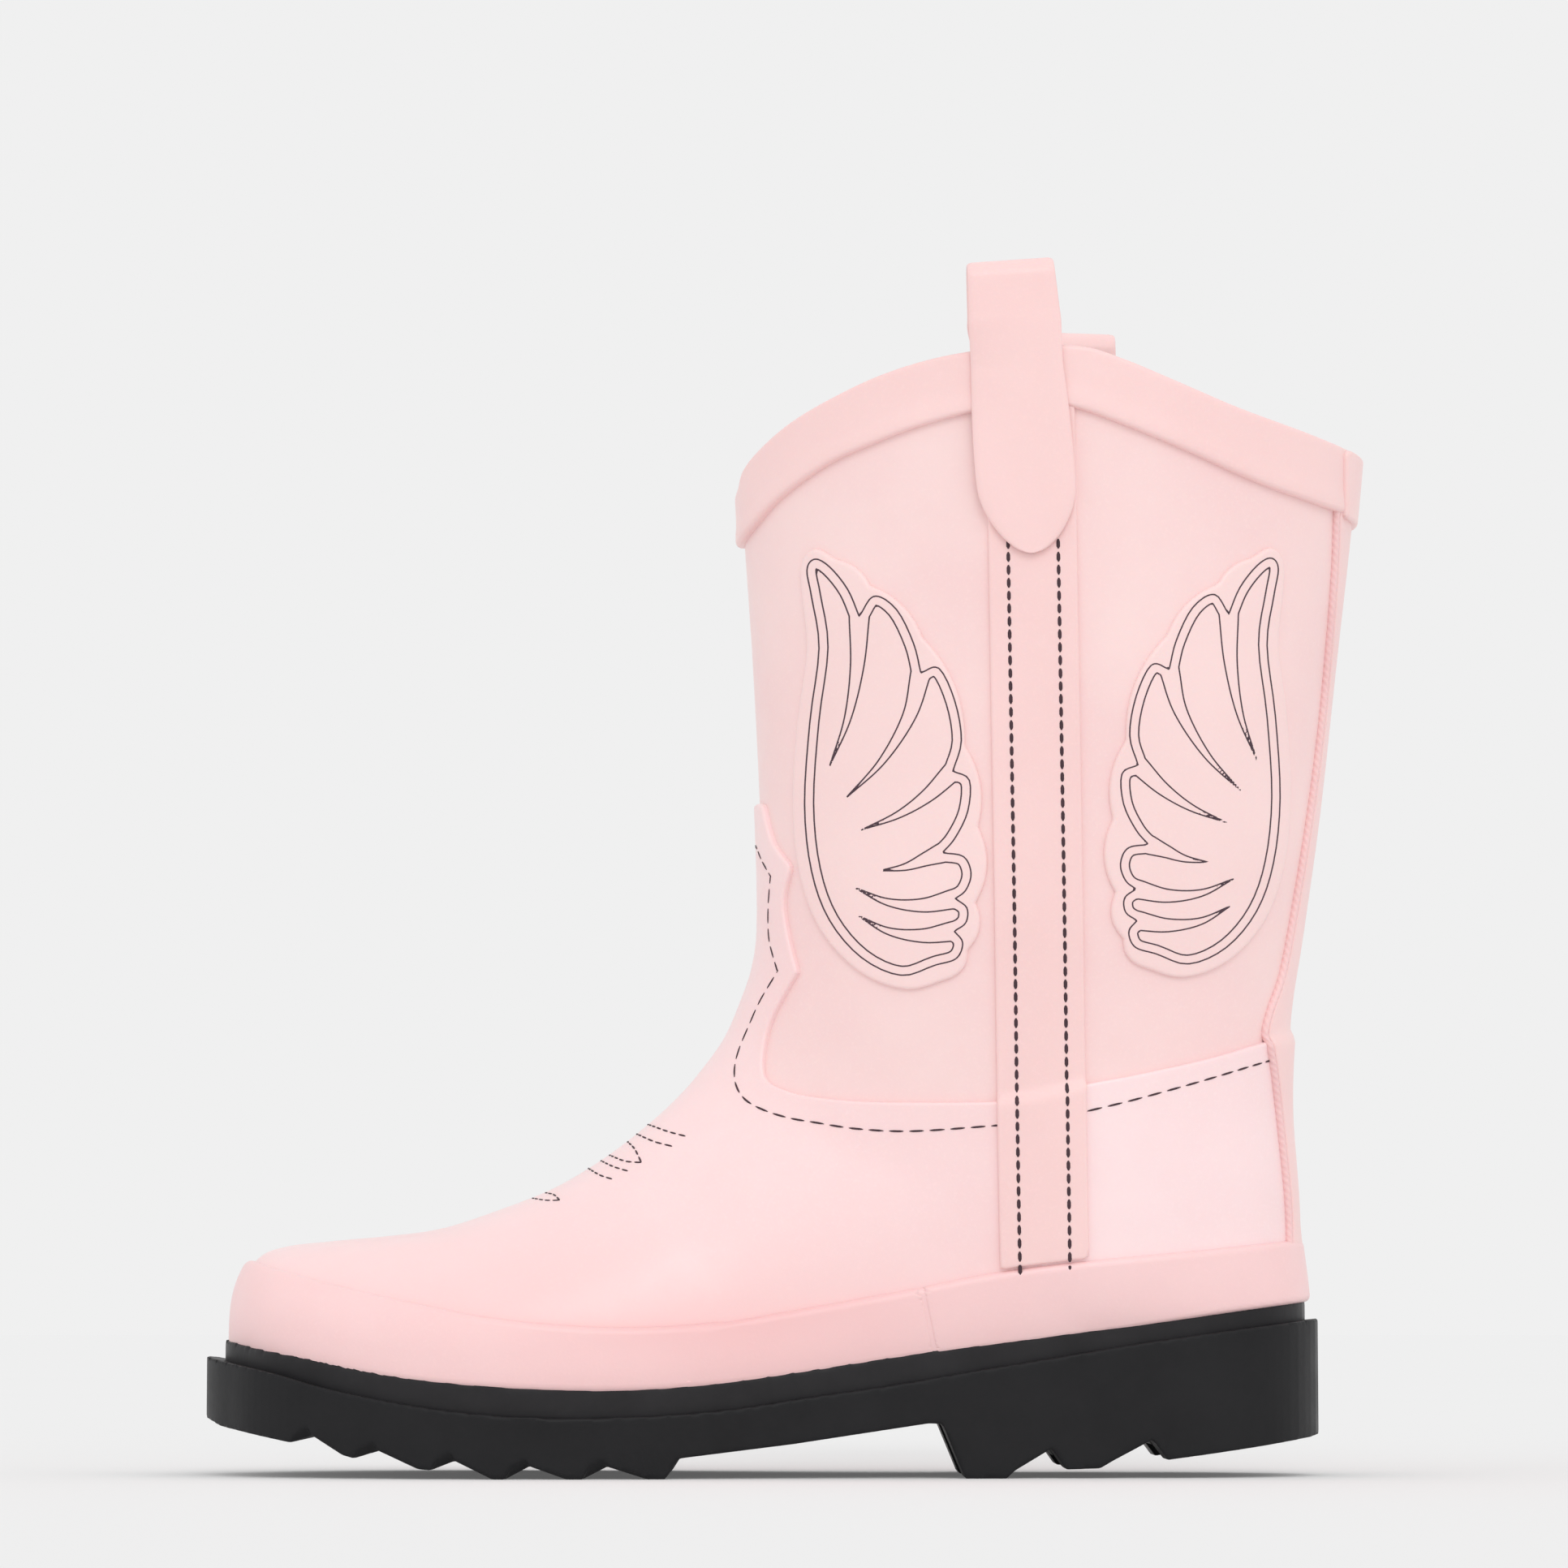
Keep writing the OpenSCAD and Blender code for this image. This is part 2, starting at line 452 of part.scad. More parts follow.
// wing patch seen from the side: leading edge, then one scallop for each feather
wing_lead = [[36, 95.5], [28, 93.5], [19, 97], [11.5, 105.5], [7.5, 117], [6.3, 131], [7.3, 147], [9, 160],
    [8, 171], [8, 177], [10.5, 179.5], [14.5, 177]];
// ends of the scallops and how far each one bulges
wing_scallops = [[14.5, 177, 0], [21, 171.5, 1], [31, 161, 1.6], [39, 140, 2.4], [41.5, 124.5, 1.8],
    [41, 110, 2], [39.5, 101, 1.6], [36, 95.5, 1.2]];
wing_edge = concat(curve(wing_lead, 0.5), [for (i = [1 : len(wing_scallops) - 1], u = [0.2 : 0.2 : 1.01])
    if (i < len(wing_scallops) - 1 || u < 0.95)
        let (a = wing_scallops[i - 1], b = wing_scallops[i], v = [b[0] - a[0], b[1] - a[1]])
        let (n = [-v[1], v[0]] / norm(v)) [a[0], a[1]] + v * u + n * b[2] * 4 * u * (1 - u)]);
wing_mid = [22, 134];
function wing_pt(i, k, rear) =
    let (p = wing_mid + (wing_edge[i] - wing_mid) * k)
    rear ? [108.8 - p[0], 177 + (p[1] - 177) * rear_wing] : p;
module wing(side, rear) {
    n = len(wing_edge);
    rings = [0.35, 0.7, 1];
    mid = wing_pt(0, 0, rear);
    q = concat([seen(mid[0], mid[1], side)],
        [for (k = rings, i = [0 : n - 1]) let (p = wing_pt(i, k, rear)) seen(p[0], p[1], side)]);
    m = len(q);
    top = [for (c = q) c[0] + c[1] * (gap + wing_t)];
    low = [for (c = q) c[0] + c[1] * gap];
    fan = [for (i = [0 : n - 1]) [0, 1 + i, 1 + (i + 1) % n]];
    ring = [for (r = [0 : len(rings) - 2], i = [0 : n - 1])
        let (a = 1 + r * n + i, b = 1 + r * n + (i + 1) % n) each [[a, a + n, b], [b, a + n, b + n]]];
    face = concat(fan, ring);
    edge = 1 + (len(rings) - 1) * n;
    wall = [for (i = [0 : n - 1])
        let (a = edge + i, b = edge + (i + 1) % n) each [[b, a, m + a], [b, m + a, m + b]]];
    all = concat(face, [for (f = face) [m + f[0], m + f[2], m + f[1]]], wall);
    flip = (side > 0) == rear;
    faces = flip ? all : [for (f = all) [f[2], f[1], f[0]]];
    translate(home) polyhedron(concat(top, low), faces, convexity = 8);
}
module outer_front_wing() color([0.97, 0.84, 0.83]) wing(-1, false);
module inner_front_wing() color([0.97, 0.84, 0.83]) wing(1, false);
module outer_rear_wing() color([0.97, 0.84, 0.83]) wing(-1, true);
module inner_rear_wing() color([0.97, 0.84, 0.83]) wing(1, true);

outsole();
midsole();
insole_board();
lining_sole();
insole();
lining();
toe_puff();
heel_stiffener();
boot_shell();
vamp();
counter();
toe_rand();
heel_rand();
back_stay();
outer_stay_cord();
inner_stay_cord();
collar_band();
collar_patch();
outer_side_strip();
inner_side_strip();
outer_strap_tab();
outer_strap_anchor();
outer_pull_loop();
inner_strap_tab();
inner_strap_anchor();
inner_pull_loop();
outer_front_wing();
outer_rear_wing();
inner_front_wing();
inner_rear_wing();
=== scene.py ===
"""A child's pull-on rubber boot: the looks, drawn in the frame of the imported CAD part.

The upper is one lofted body. Every upper piece is a patch of that body, cut to its outline and
raised to its own height with a rounded edge. Lengths are in millimetres until a mesh is made, and
in metres for the floor, the lights and the camera.
"""

import functools
import math

import bmesh
import bpy
import numpy as np
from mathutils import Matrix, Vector


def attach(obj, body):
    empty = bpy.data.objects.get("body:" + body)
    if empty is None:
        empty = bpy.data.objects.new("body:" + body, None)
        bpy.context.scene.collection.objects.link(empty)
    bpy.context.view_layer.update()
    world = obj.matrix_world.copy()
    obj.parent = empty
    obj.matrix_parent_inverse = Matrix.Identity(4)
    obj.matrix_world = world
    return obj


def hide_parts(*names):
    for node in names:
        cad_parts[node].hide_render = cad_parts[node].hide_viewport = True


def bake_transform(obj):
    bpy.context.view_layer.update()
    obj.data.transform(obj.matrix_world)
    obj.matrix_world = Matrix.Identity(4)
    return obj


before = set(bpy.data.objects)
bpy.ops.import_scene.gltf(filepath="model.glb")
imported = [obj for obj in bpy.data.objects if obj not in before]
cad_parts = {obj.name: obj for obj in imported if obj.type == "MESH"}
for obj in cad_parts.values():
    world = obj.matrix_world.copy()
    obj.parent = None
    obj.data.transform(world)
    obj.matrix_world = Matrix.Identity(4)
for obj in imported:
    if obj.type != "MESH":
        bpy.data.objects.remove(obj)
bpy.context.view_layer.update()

MM = 0.001
WELD = 0.004  # points closer than this are one point
HOME = np.array([-5.3, 0.0, 0.0])  # from the body's own coordinates to the shared frame

# ---- the lofted body

# front ridge: shin, instep and toe, as (x, z)
RIDGE = np.array([
    (-5.5, 222), (-4, 190), (-2, 160), (-0.5, 130), (0, 109), (-1, 99.5), (-3.5, 92),
    (-6.6, 85), (-11.2, 78.5), (-16, 73), (-22.6, 67), (-30.8, 60.8), (-40.6, 55), (-52, 50.5),
    (-63, 47), (-74, 45.5), (-85, 44.5), (-93.5, 43.5), (-98.5, 41.5), (-101.5, 36), (-102.5, 28),
])
# back of the calf, heel and underside that each ridge point runs to
KEEL = np.array([
    (119, 222), (116, 190), (112.5, 160), (109, 130), (105.5, 106), (103, 90), (102, 72),
    (103.2, 50), (102.8, 24), (77, 20), (50, 17), (24, 13), (-2, 9), (-27, 7),
    (-49, 7), (-67, 9), (-82, 13), (-92, 17), (-98, 20), (-101.5, 22), (-102.5, 24),
])
# half width to the outer side, half width to the inner side, sideways shift
GIRTH = np.array([
    (40, 40, 0), (39.5, 39.5, 0), (38.5, 38.5, 0), (36.5, 36.5, 0), (34.5, 34.5, 0),
    (33, 33, 0), (31.5, 31.5, 0), (30, 29.5, 0), (29, 28.5, 0), (28.5, 27.5, 0),
    (28.5, 27, 0), (30, 28.5, 0.5), (33, 32, 1), (35.5, 35.5, 1.5), (35.5, 36, 2),
    (33.5, 34.5, 2.5), (29, 30.5, 3), (23, 24.5, 3.5), (16, 17, 4), (8.5, 9, 4), (1, 1, 4),
])
# where along each slice the widest point lies, roundness of the rear half
SHAPE = np.array([
    (0.5, 2.1), (0.5, 2.1), (0.5, 2.1), (0.48, 2.1), (0.46, 2.1), (0.46, 2.1), (0.48, 2.2),
    (0.5, 2.3), (0.5, 2.3), (0.52, 2.6), (0.55, 3), (0.58, 3), (0.6, 3), (0.6, 3),
    (0.6, 3), (0.58, 3), (0.56, 2.8), (0.54, 2.6), (0.52, 2.3), (0.5, 2.1), (0.5, 2),
])
LAST = len(RIDGE) - 1
FRONT_ROUNDNESS = 2.1

# side-view lines, toe to heel, as (x, z)
RIM = [
    (-12, 187), (-4.5, 193), (-2.8, 197.3), (1, 201), (6.5, 204.8), (14, 208.5), (24, 212.5),
    (36, 215.5), (50, 217), (61, 217), (69, 214.8), (80, 210.5), (92, 206), (104, 202.8),
    (114, 200.8), (124, 200),
]
BAND = [
    (-12, 180), (-5, 182.5), (-1, 185.5), (4, 190), (13, 195.5), (22, 199), (31, 202),
    (42, 204.5), (52, 205.3), (60, 205), (69, 202), (82, 197), (92, 193), (101, 190.3),
    (112, 188.3), (124, 188),
]
RAND = [
    (-115, 44), (-101, 41.4), (-93, 38.8), (-80, 35.5), (-67, 32.8), (-52, 30.2), (-37, 28.9),
    (-27, 28.6), (-16, 29), (-5, 30.2), (10, 32.7), (30, 36.4), (45, 39.4), (62, 41.6),
    (84, 43.6), (104, 45.7), (118, 46.8),
]
FOOT = [
    (-118, 32), (-101, 26.6), (-94, 24.6), (-83, 22), (-72, 19.8), (-58, 17.8), (-44, 16.8),
    (-30, 16.3), (-17, 17.2), (-6, 18.6), (9, 21.2), (31, 24.3), (56, 27.6), (79, 30.9),
    (102, 33.6), (118, 35.4),
]
# top edge of the midsole, which the rand hangs over
LIP = [
    (-118, 29.8), (-104, 26.2), (-96, 24.5), (-87, 23), (-79, 21.4), (-66, 19.4), (-52, 18.2),
    (-40, 17.7), (-28, 17.6), (-16, 18.1), (-4, 19.2), (9, 21), (31, 24.6), (56, 28), (79, 31.3),
    (102, 34.1), (118, 35.9),
]
LEDGE = [
    (-118, 25.4), (-105, 22.3), (-94, 20), (-83, 17.1), (-67, 14), (-52, 12.2), (-37, 11.6),
    (-21, 12), (-6, 13.2), (9, 15.5), (25, 17.8), (40, 20.4), (56, 23), (71, 25.5),
    (87, 27.8), (105, 30.1), (118, 31.8),
]
# edge of the vamp from the shin down to the side strip
VAMP = [
    (-3, 132.2), (-0.6, 131.6), (0.8, 130.8), (1.4, 128), (2.9, 123), (5.4, 119.2), (6, 118.2),
    (6.1, 117.6), (5.9, 116.8), (4.8, 111.5), (5.6, 104.8), (7.2, 98.2), (7.3, 97.5), (6.9, 96.7),
    (4.4, 92.5), (2, 87.6), (0.8, 82.5), (0.6, 78.5), (1.6, 76.1), (5, 74.3), (10, 73.1),
    (18.5, 72.2), (30, 71.9), (45, 72), (53, 72.8),
]
COUNTER = [(53, 73.2), (62, 75.3), (72, 77.2), (85, 80.2), (95, 83.3), (103, 86.3), (112, 90)]
# front edge of the back stay, top to bottom
STAY = [
    (112.6, 190), (112.2, 177), (111, 161), (109.4, 145), (107.2, 129), (104.6, 113.5),
    (101.6, 98), (98.8, 90), (97.8, 85), (98.8, 77), (100, 66), (101.2, 53), (101.4, 44),
]

# how far each piece stands out from the body, and the height its wall starts from
LAYER_T = 1.2
RAND_T = 2.6
BAND_T = 1.4
TAB_T = 2.7
WING_T = 1.0
LINING_IN = 3.7
LAYER_ROOT = -0.2
# side strips: width, middle of the outer and inner one at STRIP_TRUE_Z, and how much they lean
STRIP_W = 17.0
STRIP_X = (52.0, 55.5)
STRIP_TRUE_Z = 180
STRIP_LEAN = 0.015
# pull straps
STRAP_T = 1.2
HINGE_Z = 217.0
OUTER_LOOP = (48.9, -38.8, -4.0)  # x, y and lean in degrees of the free loop
INNER_LOOP = (63.3, 38.4, 2.0)
OUTER, INNER = -1, 1
SIDES = ((OUTER, "outer"), (INNER, "inner"))

# the point that the body closes in, and where its outward direction turns to face the toe
TIP = np.array([-102.5, 4, 26])
TIP_TURN_START, TIP_TURN = 19.6, 0.8


def spline(table, t):
    """Catmull-Rom curve through the rows of a table, at stations t."""
    table = np.asarray(table, float)
    n = len(table) - 1
    t = np.clip(np.asarray(t, float), 0, n)
    i = np.minimum(np.floor(t).astype(int), n - 1)
    f = (t - i)[..., None]
    p1, p2 = table[i], table[i + 1]
    p0 = np.where((i > 0)[..., None], table[np.maximum(i - 1, 0)], 2 * p1 - p2)
    p3 = np.where((i + 2 <= n)[..., None], table[np.minimum(i + 2, n)], 2 * p2 - p1)
    c1 = p2 - p0
    c2 = 2 * p0 - 5 * p1 + 4 * p2 - p3
    c3 = 3 * p1 - p0 - 3 * p2 + p3
    return p1 + (c1 * f + c2 * f**2 + c3 * f**3) / 2


def smooth_line(points, step=0.25):
    return spline(points, np.arange(0, len(points) - 1 + 1e-6, step))


def height_at(line, x):
    curve = smooth_line(line)
    return np.interp(x, curve[:, 0], curve[:, 1])


def ease(v):
    """0 below 0, 1 above 1, and a soft climb between."""
    f = np.clip(v, 0, 1)
    return f * f * (3 - 2 * f)


def unit(v):
    return v / np.maximum(np.linalg.norm(v, axis=-1, keepdims=True), 1e-9)


def surface(t, p):
    """Point of the body at station t and angle p: 0 front, 90 outer side, 180 back."""
    t, p = np.broadcast_arrays(np.asarray(t, float), np.asarray(p, float))
    c, n = np.cos(np.radians(p)), np.sin(np.radians(p))
    ridge, keel, girth, shape = (spline(a, t) for a in (RIDGE, KEEL, GIRTH, SHAPE))
    k = np.abs(c) ** np.where(c >= 0, 2 / FRONT_ROUNDNESS, 2 / shape[..., 1])
    widest = shape[..., 0]
    along = np.where(c >= 0, widest * (1 - k), widest + (1 - widest) * k)
    flat = ridge + along[..., None] * (keel - ridge)
    half = np.where(n >= 0, girth[..., 0], girth[..., 1])
    e = np.where(c >= 0, 2 / FRONT_ROUNDNESS, 2 / shape[..., 1])
    y = girth[..., 2] - np.sign(n) * half * np.abs(n) ** e
    point = np.stack([flat[..., 0], y, flat[..., 1]], -1)
    left = np.clip(LAST + 1 - t, 0, 1)[..., None]
    return TIP + (point - TIP) * left


def outward(t, p):
    """Unit direction out of the body."""
    t, p = np.broadcast_arrays(np.asarray(t, float), np.asarray(p, float))
    along = surface(t + 0.02, p) - surface(t - 0.02, p)
    around = surface(t, p + 0.5) - surface(t, p - 0.5)
    v = np.cross(along, around)
    v = unit(v)
    turned = np.clip((t - TIP_TURN_START) / TIP_TURN, 0, 1)[..., None]
    return unit(v * (1 - turned) + np.array([-1.0, 0, 0]) * turned)


def place_body(t, p):
    return surface(t, p), outward(t, p)


def seen_from(side):
    """The map from a side view (x, z) to the body's point and outward direction there."""

    def place(x, z):
        low, high = np.zeros_like(x), np.full_like(x, LAST)
        for _ in range(26):
            m = (low + high) / 2
            f = spline(RIDGE, m)
            k = spline(KEEL, m) - f
            past = k[..., 0] * (z - f[..., 1]) < k[..., 1] * (x - f[..., 0])
            low, high = np.where(past, m, low), np.where(past, high, m)
        t = (low + high) / 2
        f, shape = spline(RIDGE, t), spline(SHAPE, t)
        k = spline(KEEL, t) - f
        along = ((x - f[..., 0]) * k[..., 0] + (z - f[..., 1]) * k[..., 1]) / (k**2).sum(-1)
        along = np.clip(along, 1e-6, 1 - 1e-6)
        widest = shape[..., 0]
        front = np.clip(1 - along / widest, 0, 1) ** (FRONT_ROUNDNESS / 2)
        rear = np.clip((along - widest) / (1 - widest), 0, 1) ** (shape[..., 1] / 2)
        p = np.where(along < widest, np.degrees(np.arccos(front)), 180 - np.degrees(np.arccos(rear)))
        return place_body(t, p if side == OUTER else -p)

    return place


def distance_to(line, x, z, closed=False):
    """Distance from points (x, z) to a polyline."""
    line = np.asarray(line, float)
    ends = np.roll(line, -1, 0) if closed else line[1:]
    starts = line if closed else line[:-1]
    flat = np.stack([np.ravel(x), np.ravel(z)], -1)
    best = np.full(len(flat), 1e9)
    for a, b in zip(starts, ends):
        v = b - a
        s = np.clip(((flat - a) @ v) / max(v @ v, 1e-12), 0, 1)
        best = np.minimum(best, np.hypot(*(flat - a - s[:, None] * v).T))
    return best.reshape(np.shape(x))


def inside(outline, x, z):
    """True where (x, z) lies in a closed outline."""
    outline = np.asarray(outline, float)
    ends = np.roll(outline, -1, 0)
    odd = np.zeros(np.shape(x), bool)
    for (x0, z0), (x1, z1) in zip(outline, ends):
        if z0 != z1:
            crossing = (z0 > z) != (z1 > z)
            odd ^= crossing & (x < (x1 - x0) * (z - z0) / (z1 - z0) + x0)
    return odd


def depth_in(outline, x, z):
    """Distance inside a closed outline, negative outside."""
    d = distance_to(outline, x, z, closed=True)
    return np.where(inside(outline, x, z), d, -d)


# ---- meshes


def linked(name, data):
    """A new object with this data, in the scene."""
    obj = bpy.data.objects.new(name, data)
    bpy.context.scene.collection.objects.link(obj)
    return obj


def mesh_of(name, points, faces):
    """A mesh from points in millimetres in the body's own coordinates."""
    mesh = bpy.data.meshes.new(name)
    faces = [list(map(int, f)) for f in faces]
    mesh.from_pydata(((np.asarray(points) + HOME) * MM).tolist(), [], faces)
    return mesh


def face_outwards(mesh):
    bm = bmesh.new()
    bm.from_mesh(mesh)
    bmesh.ops.recalc_face_normals(bm, faces=bm.faces)
    bm.to_mesh(mesh)
    bm.free()


def new_object(name, points, faces, material):
    """A smooth-shaded object without doubled or loose points."""
    mesh = mesh_of(name, points, faces)
    bm = bmesh.new()
    bm.from_mesh(mesh)
    bmesh.ops.remove_doubles(bm, verts=bm.verts, dist=WELD * MM)
    loose = [v for v in bm.verts if not v.link_faces]
    bmesh.ops.delete(bm, geom=loose, context="VERTS")
    for face in bm.faces:
        face.smooth = True
    bm.to_mesh(mesh)
    bm.free()
    mesh.materials.append(material)
    return linked(name, mesh)


def grid_faces(rows, cols):
    """Two triangles for each cell of a grid of points."""
    i, j = np.meshgrid(np.arange(rows - 1), np.arange(cols - 1), indexing="ij")
    a = (i * cols + j).ravel()
    return np.concatenate([
        np.stack([a, a + cols, a + 1], -1), np.stack([a + 1, a + cols, a + cols + 1], -1),
    ])


def cut(verts, faces, level):
    """Splits triangles along column 0 of verts == level."""
    above = verts[faces, 0] > level
    count = above.sum(1)
    mixed = (count == 1) | (count == 2)
    whole, tri, up = faces[~mixed], faces[mixed], above[mixed]
    if not len(tri):
        return verts, faces
    odd = np.where(count[mixed] == 1, up.argmax(1), (~up).argmax(1))
    r = np.arange(len(tri))
    a, b, c = tri[r, odd], tri[r, (odd + 1) % 3], tri[r, (odd + 2) % 3]
    edges = np.sort(np.concatenate([np.stack([a, b], -1), np.stack([a, c], -1)]), axis=1)
    edges, back = np.unique(edges, axis=0, return_inverse=True)
    back = back.ravel()
    p, q = verts[edges[:, 0]], verts[edges[:, 1]]
    s = ((level - p[:, 0]) / (q[:, 0] - p[:, 0]))[:, None]
    made = p + (q - p) * s
    made[:, 0] = level
    ab, ac = len(verts) + back[: len(tri)], len(verts) + back[len(tri):]
    faces = np.concatenate([
        whole, np.stack([a, ab, ac], -1), np.stack([ab, b, c], -1), np.stack([ab, c, ac], -1),
    ])
    return np.concatenate([verts, made]), faces


def turned_to(points, faces, out):
    """The triangles wound so that they face along the given directions."""
    a, b, c = (points[faces[:, k]] for k in range(3))
    facing = (np.cross(b - a, c - a) * out[faces[:, 0]]).sum()
    return faces if facing > 0 else faces[:, ::-1]


def rounded(depth, radius, rise):
    """How far the top drops near an edge that is rounded over a given width and rise."""
    s = np.clip(depth / radius, 0, 1)
    return rise * (1 - np.sqrt(np.maximum(1 - (1 - s) ** 2, 0)))


def patch(name, grid, depth, place, low, high, radius, material, rise=None, keep=None):
    """A raised piece: the part of a parameter grid where depth is above 0.

    grid holds the two parameters, and place turns them into points and outward directions. low and
    high are heights over the body; high may be a function of the points. keep limits the depth.
    """
    u, v = grid
    verts = np.stack([depth.ravel(), u.ravel(), v.ravel()], -1)
    faces = grid_faces(*u.shape)
    near = verts[faces, 0].max(1) > 0
    if keep is not None:
        near &= verts[faces, 0].min(1) < keep
    faces = faces[near]
    levels = [0] + [radius * k for k in (0.07, 0.25, 0.55, 1)]
    for level in levels if keep is None else [0, keep]:
        verts, faces = cut(verts, faces, level)
    middle = verts[faces, 0].mean(1)
    faces = faces[(middle > 0) if keep is None else (middle > 0) & (middle < keep)]
    used, back = np.unique(faces, return_inverse=True)
    verts, faces = verts[used], back.reshape(faces.shape)
    points, out = place(verts[:, 1], verts[:, 2])
    top = high(points) if callable(high) else np.full(len(points), float(high))
    bottom = np.full(len(points), float(low))
    faces = turned_to(points, faces, out * np.sign(top - bottom)[:, None])
    if keep is None:
        drop = min(radius, 1.0) if rise is None else rise
        top = top - rounded(verts[:, 0], radius, drop)
    # walls down from the cut edges
    pairs = np.concatenate([faces[:, [0, 1]], faces[:, [1, 2]], faces[:, [2, 0]]])
    _, first, times = np.unique(np.sort(pairs, axis=1), axis=0, return_index=True, return_counts=True)
    rims = pairs[first[times == 1]]
    at_edge = np.abs(verts[:, 0]) < 1e-6
    if keep is not None:
        at_edge |= np.abs(verts[:, 0] - keep) < 1e-6
    rims = rims[at_edge[rims].all(1)]
    n = len(points)
    walls = np.concatenate([
        np.stack([rims[:, 1], rims[:, 0], rims[:, 0] + n], -1),
        np.stack([rims[:, 1], rims[:, 0] + n, rims[:, 1] + n], -1),
    ])
    cloud = np.concatenate([points + out * top[:, None], points + out * bottom[:, None]])
    return new_object(name, cloud, np.concatenate([faces, walls]), material)


def body_grid(step):
    """Stations and angles about one step apart."""
    t = np.linspace(0, LAST + 1, 4001)
    ring = surface(t[:, None], np.arange(0, 360, 30)[None])
    gone = np.linalg.norm(np.diff(ring, axis=0), axis=-1).max(1)
    gone = np.concatenate([[0], np.cumsum(gone)])
    rows = np.interp(np.linspace(0, gone[-1], int(gone[-1] / step)), gone, t)
    cols = np.linspace(-180, 180, int(330 / step) + 1)
    return np.meshgrid(rows, cols, indexing="ij")


def true_depth(grid, points, field):
    """A field over the body turned into distance along the surface from where it is 0."""
    pu, pv = np.gradient(points, axis=0), np.gradient(points, axis=1)
    fu, fv = np.gradient(field, axis=0), np.gradient(field, axis=1)
    e, f, g = (pu * pu).sum(-1), (pu * pv).sum(-1), (pv * pv).sum(-1)
    slope = (g * fu**2 - 2 * f * fu * fv + e * fv**2) / np.maximum(e * g - f * f, 1e-9)
    return field / np.sqrt(np.clip(slope, 0.01, 4))


# ---- materials


class Nodes:
    """A material's node tree, with short calls for what the boot's materials share."""

    def __init__(self, name):
        self.material = bpy.data.materials.new(name)
        self.material.use_nodes = True
        self.tree = self.material.node_tree
        self.shader = self.tree.nodes["Principled BSDF"]
        self.place = self.tree.nodes.new("ShaderNodeTexCoord").outputs["Object"]

    def link(self, a, b):
        self.tree.links.new(a, b)

    def noise(self, scale, detail=3.0, rough=0.5):
        n = self.tree.nodes.new("ShaderNodeTexNoise")
        n.inputs["Scale"].default_value = scale
        n.inputs["Detail"].default_value = detail
        n.inputs["Roughness"].default_value = rough
        self.link(self.place, n.inputs["Vector"])
        return n.outputs["Fac"]

    def spread(self, value, low, high, lowest=0.0, highest=1.0):
        """value from low..high to lowest..highest"""
        n = self.tree.nodes.new("ShaderNodeMapRange")
        numbers = {"From Min": low, "From Max": high, "To Min": lowest, "To Max": highest}
        for key, number in numbers.items():
            n.inputs[key].default_value = number
        self.link(value, n.inputs["Value"])
        return n.outputs["Result"]

    def near(self, centre, reach):
        """1 at a point given in millimetres, down to 0 at reach from it along each axis."""
        n = self.tree.nodes.new("ShaderNodeMapping")
        n.inputs["Scale"].default_value = [1 / (r * MM) for r in reach]
        n.inputs["Location"].default_value = [-c / r for c, r in zip(centre, reach)]
        self.link(self.place, n.inputs["Vector"])
        ball = self.tree.nodes.new("ShaderNodeTexGradient")
        ball.gradient_type = "QUADRATIC_SPHERE"
        self.link(n.outputs["Vector"], ball.inputs["Vector"])
        return self.spread(ball.outputs["Fac"], 0, 0.8)

    def mixed(self, factor, a, b):
        n = self.tree.nodes.new("ShaderNodeMix")
        n.data_type = "RGBA"
        self.link(factor, n.inputs["Factor"])
        for key, value in ((6, a), (7, b)):
            if isinstance(value, tuple):
                n.inputs[key].default_value = (*value, 1)
            else:
                self.link(value, n.inputs[key])
        return n.outputs[2]

    def bump(self, height, depth_mm, strength=1.0, under=None):
        n = self.tree.nodes.new("ShaderNodeBump")
        n.inputs["Strength"].default_value = strength
        n.inputs["Distance"].default_value = depth_mm * MM
        self.link(height, n.inputs["Height"])
        if under is not None:
            self.link(under, n.inputs["Normal"])
        return n.outputs["Normal"]

    def set(self, **values):
        for key, value in values.items():
            self.shader.inputs[key.replace("_", " ")].default_value = value

    def done(self, colour, roughness, normal):
        self.link(colour, self.shader.inputs["Base Color"])
        self.link(roughness, self.shader.inputs["Roughness"])
        self.link(normal, self.shader.inputs["Normal"])
        return self.material


def linear(r, g, b):
    """sRGB 0..255 to the linear colour that a shader takes."""
    share = (r / 255, g / 255, b / 255)
    return tuple(c / 12.92 if c <= 0.04045 else ((c + 0.055) / 1.055) ** 2.4 for c in share)


def pink_rubber(name, light, deep, rough=(0.36, 0.47), painted_shade=None):
    """Satin rubber: faint clouding, fine dusty grain and a soft pearly coat.

    The last argument, if given, is painted shade: (colour, centre, reach), a deeper tone laid round a
    point, with reach along each axis.
    """
    m = Nodes(name)
    cloud = m.spread(m.noise(28, 4, 0.55), 0.35, 0.65)
    grain = m.spread(m.noise(1500, 2, 0.6), 0.3, 0.7)
    base = m.mixed(cloud, deep, light)
    pale = tuple(min(1.0, c * 1.03) for c in light)
    colour = m.mixed(m.spread(grain, 0.55, 1, 0, 0.35), base, pale)
    # painted shade: the colour deepens towards the given point
    if painted_shade is not None:
        colour = m.mixed(m.near(*painted_shade[1:]), colour, painted_shade[0])
    soft = m.bump(m.noise(75, 3, 0.5), 0.25, 0.5)
    normal = m.bump(grain, 0.012, 0.6, soft)
    m.set(Coat_Weight=0.12, Coat_Roughness=0.32, Specular_IOR_Level=0.45)
    m.set(Subsurface_Weight=0.06, Subsurface_Scale=0.0015, Sheen_Weight=0.08, Sheen_Roughness=0.5)
    return m.done(colour, m.spread(m.noise(160, 3), 0.3, 0.7, *rough), normal)


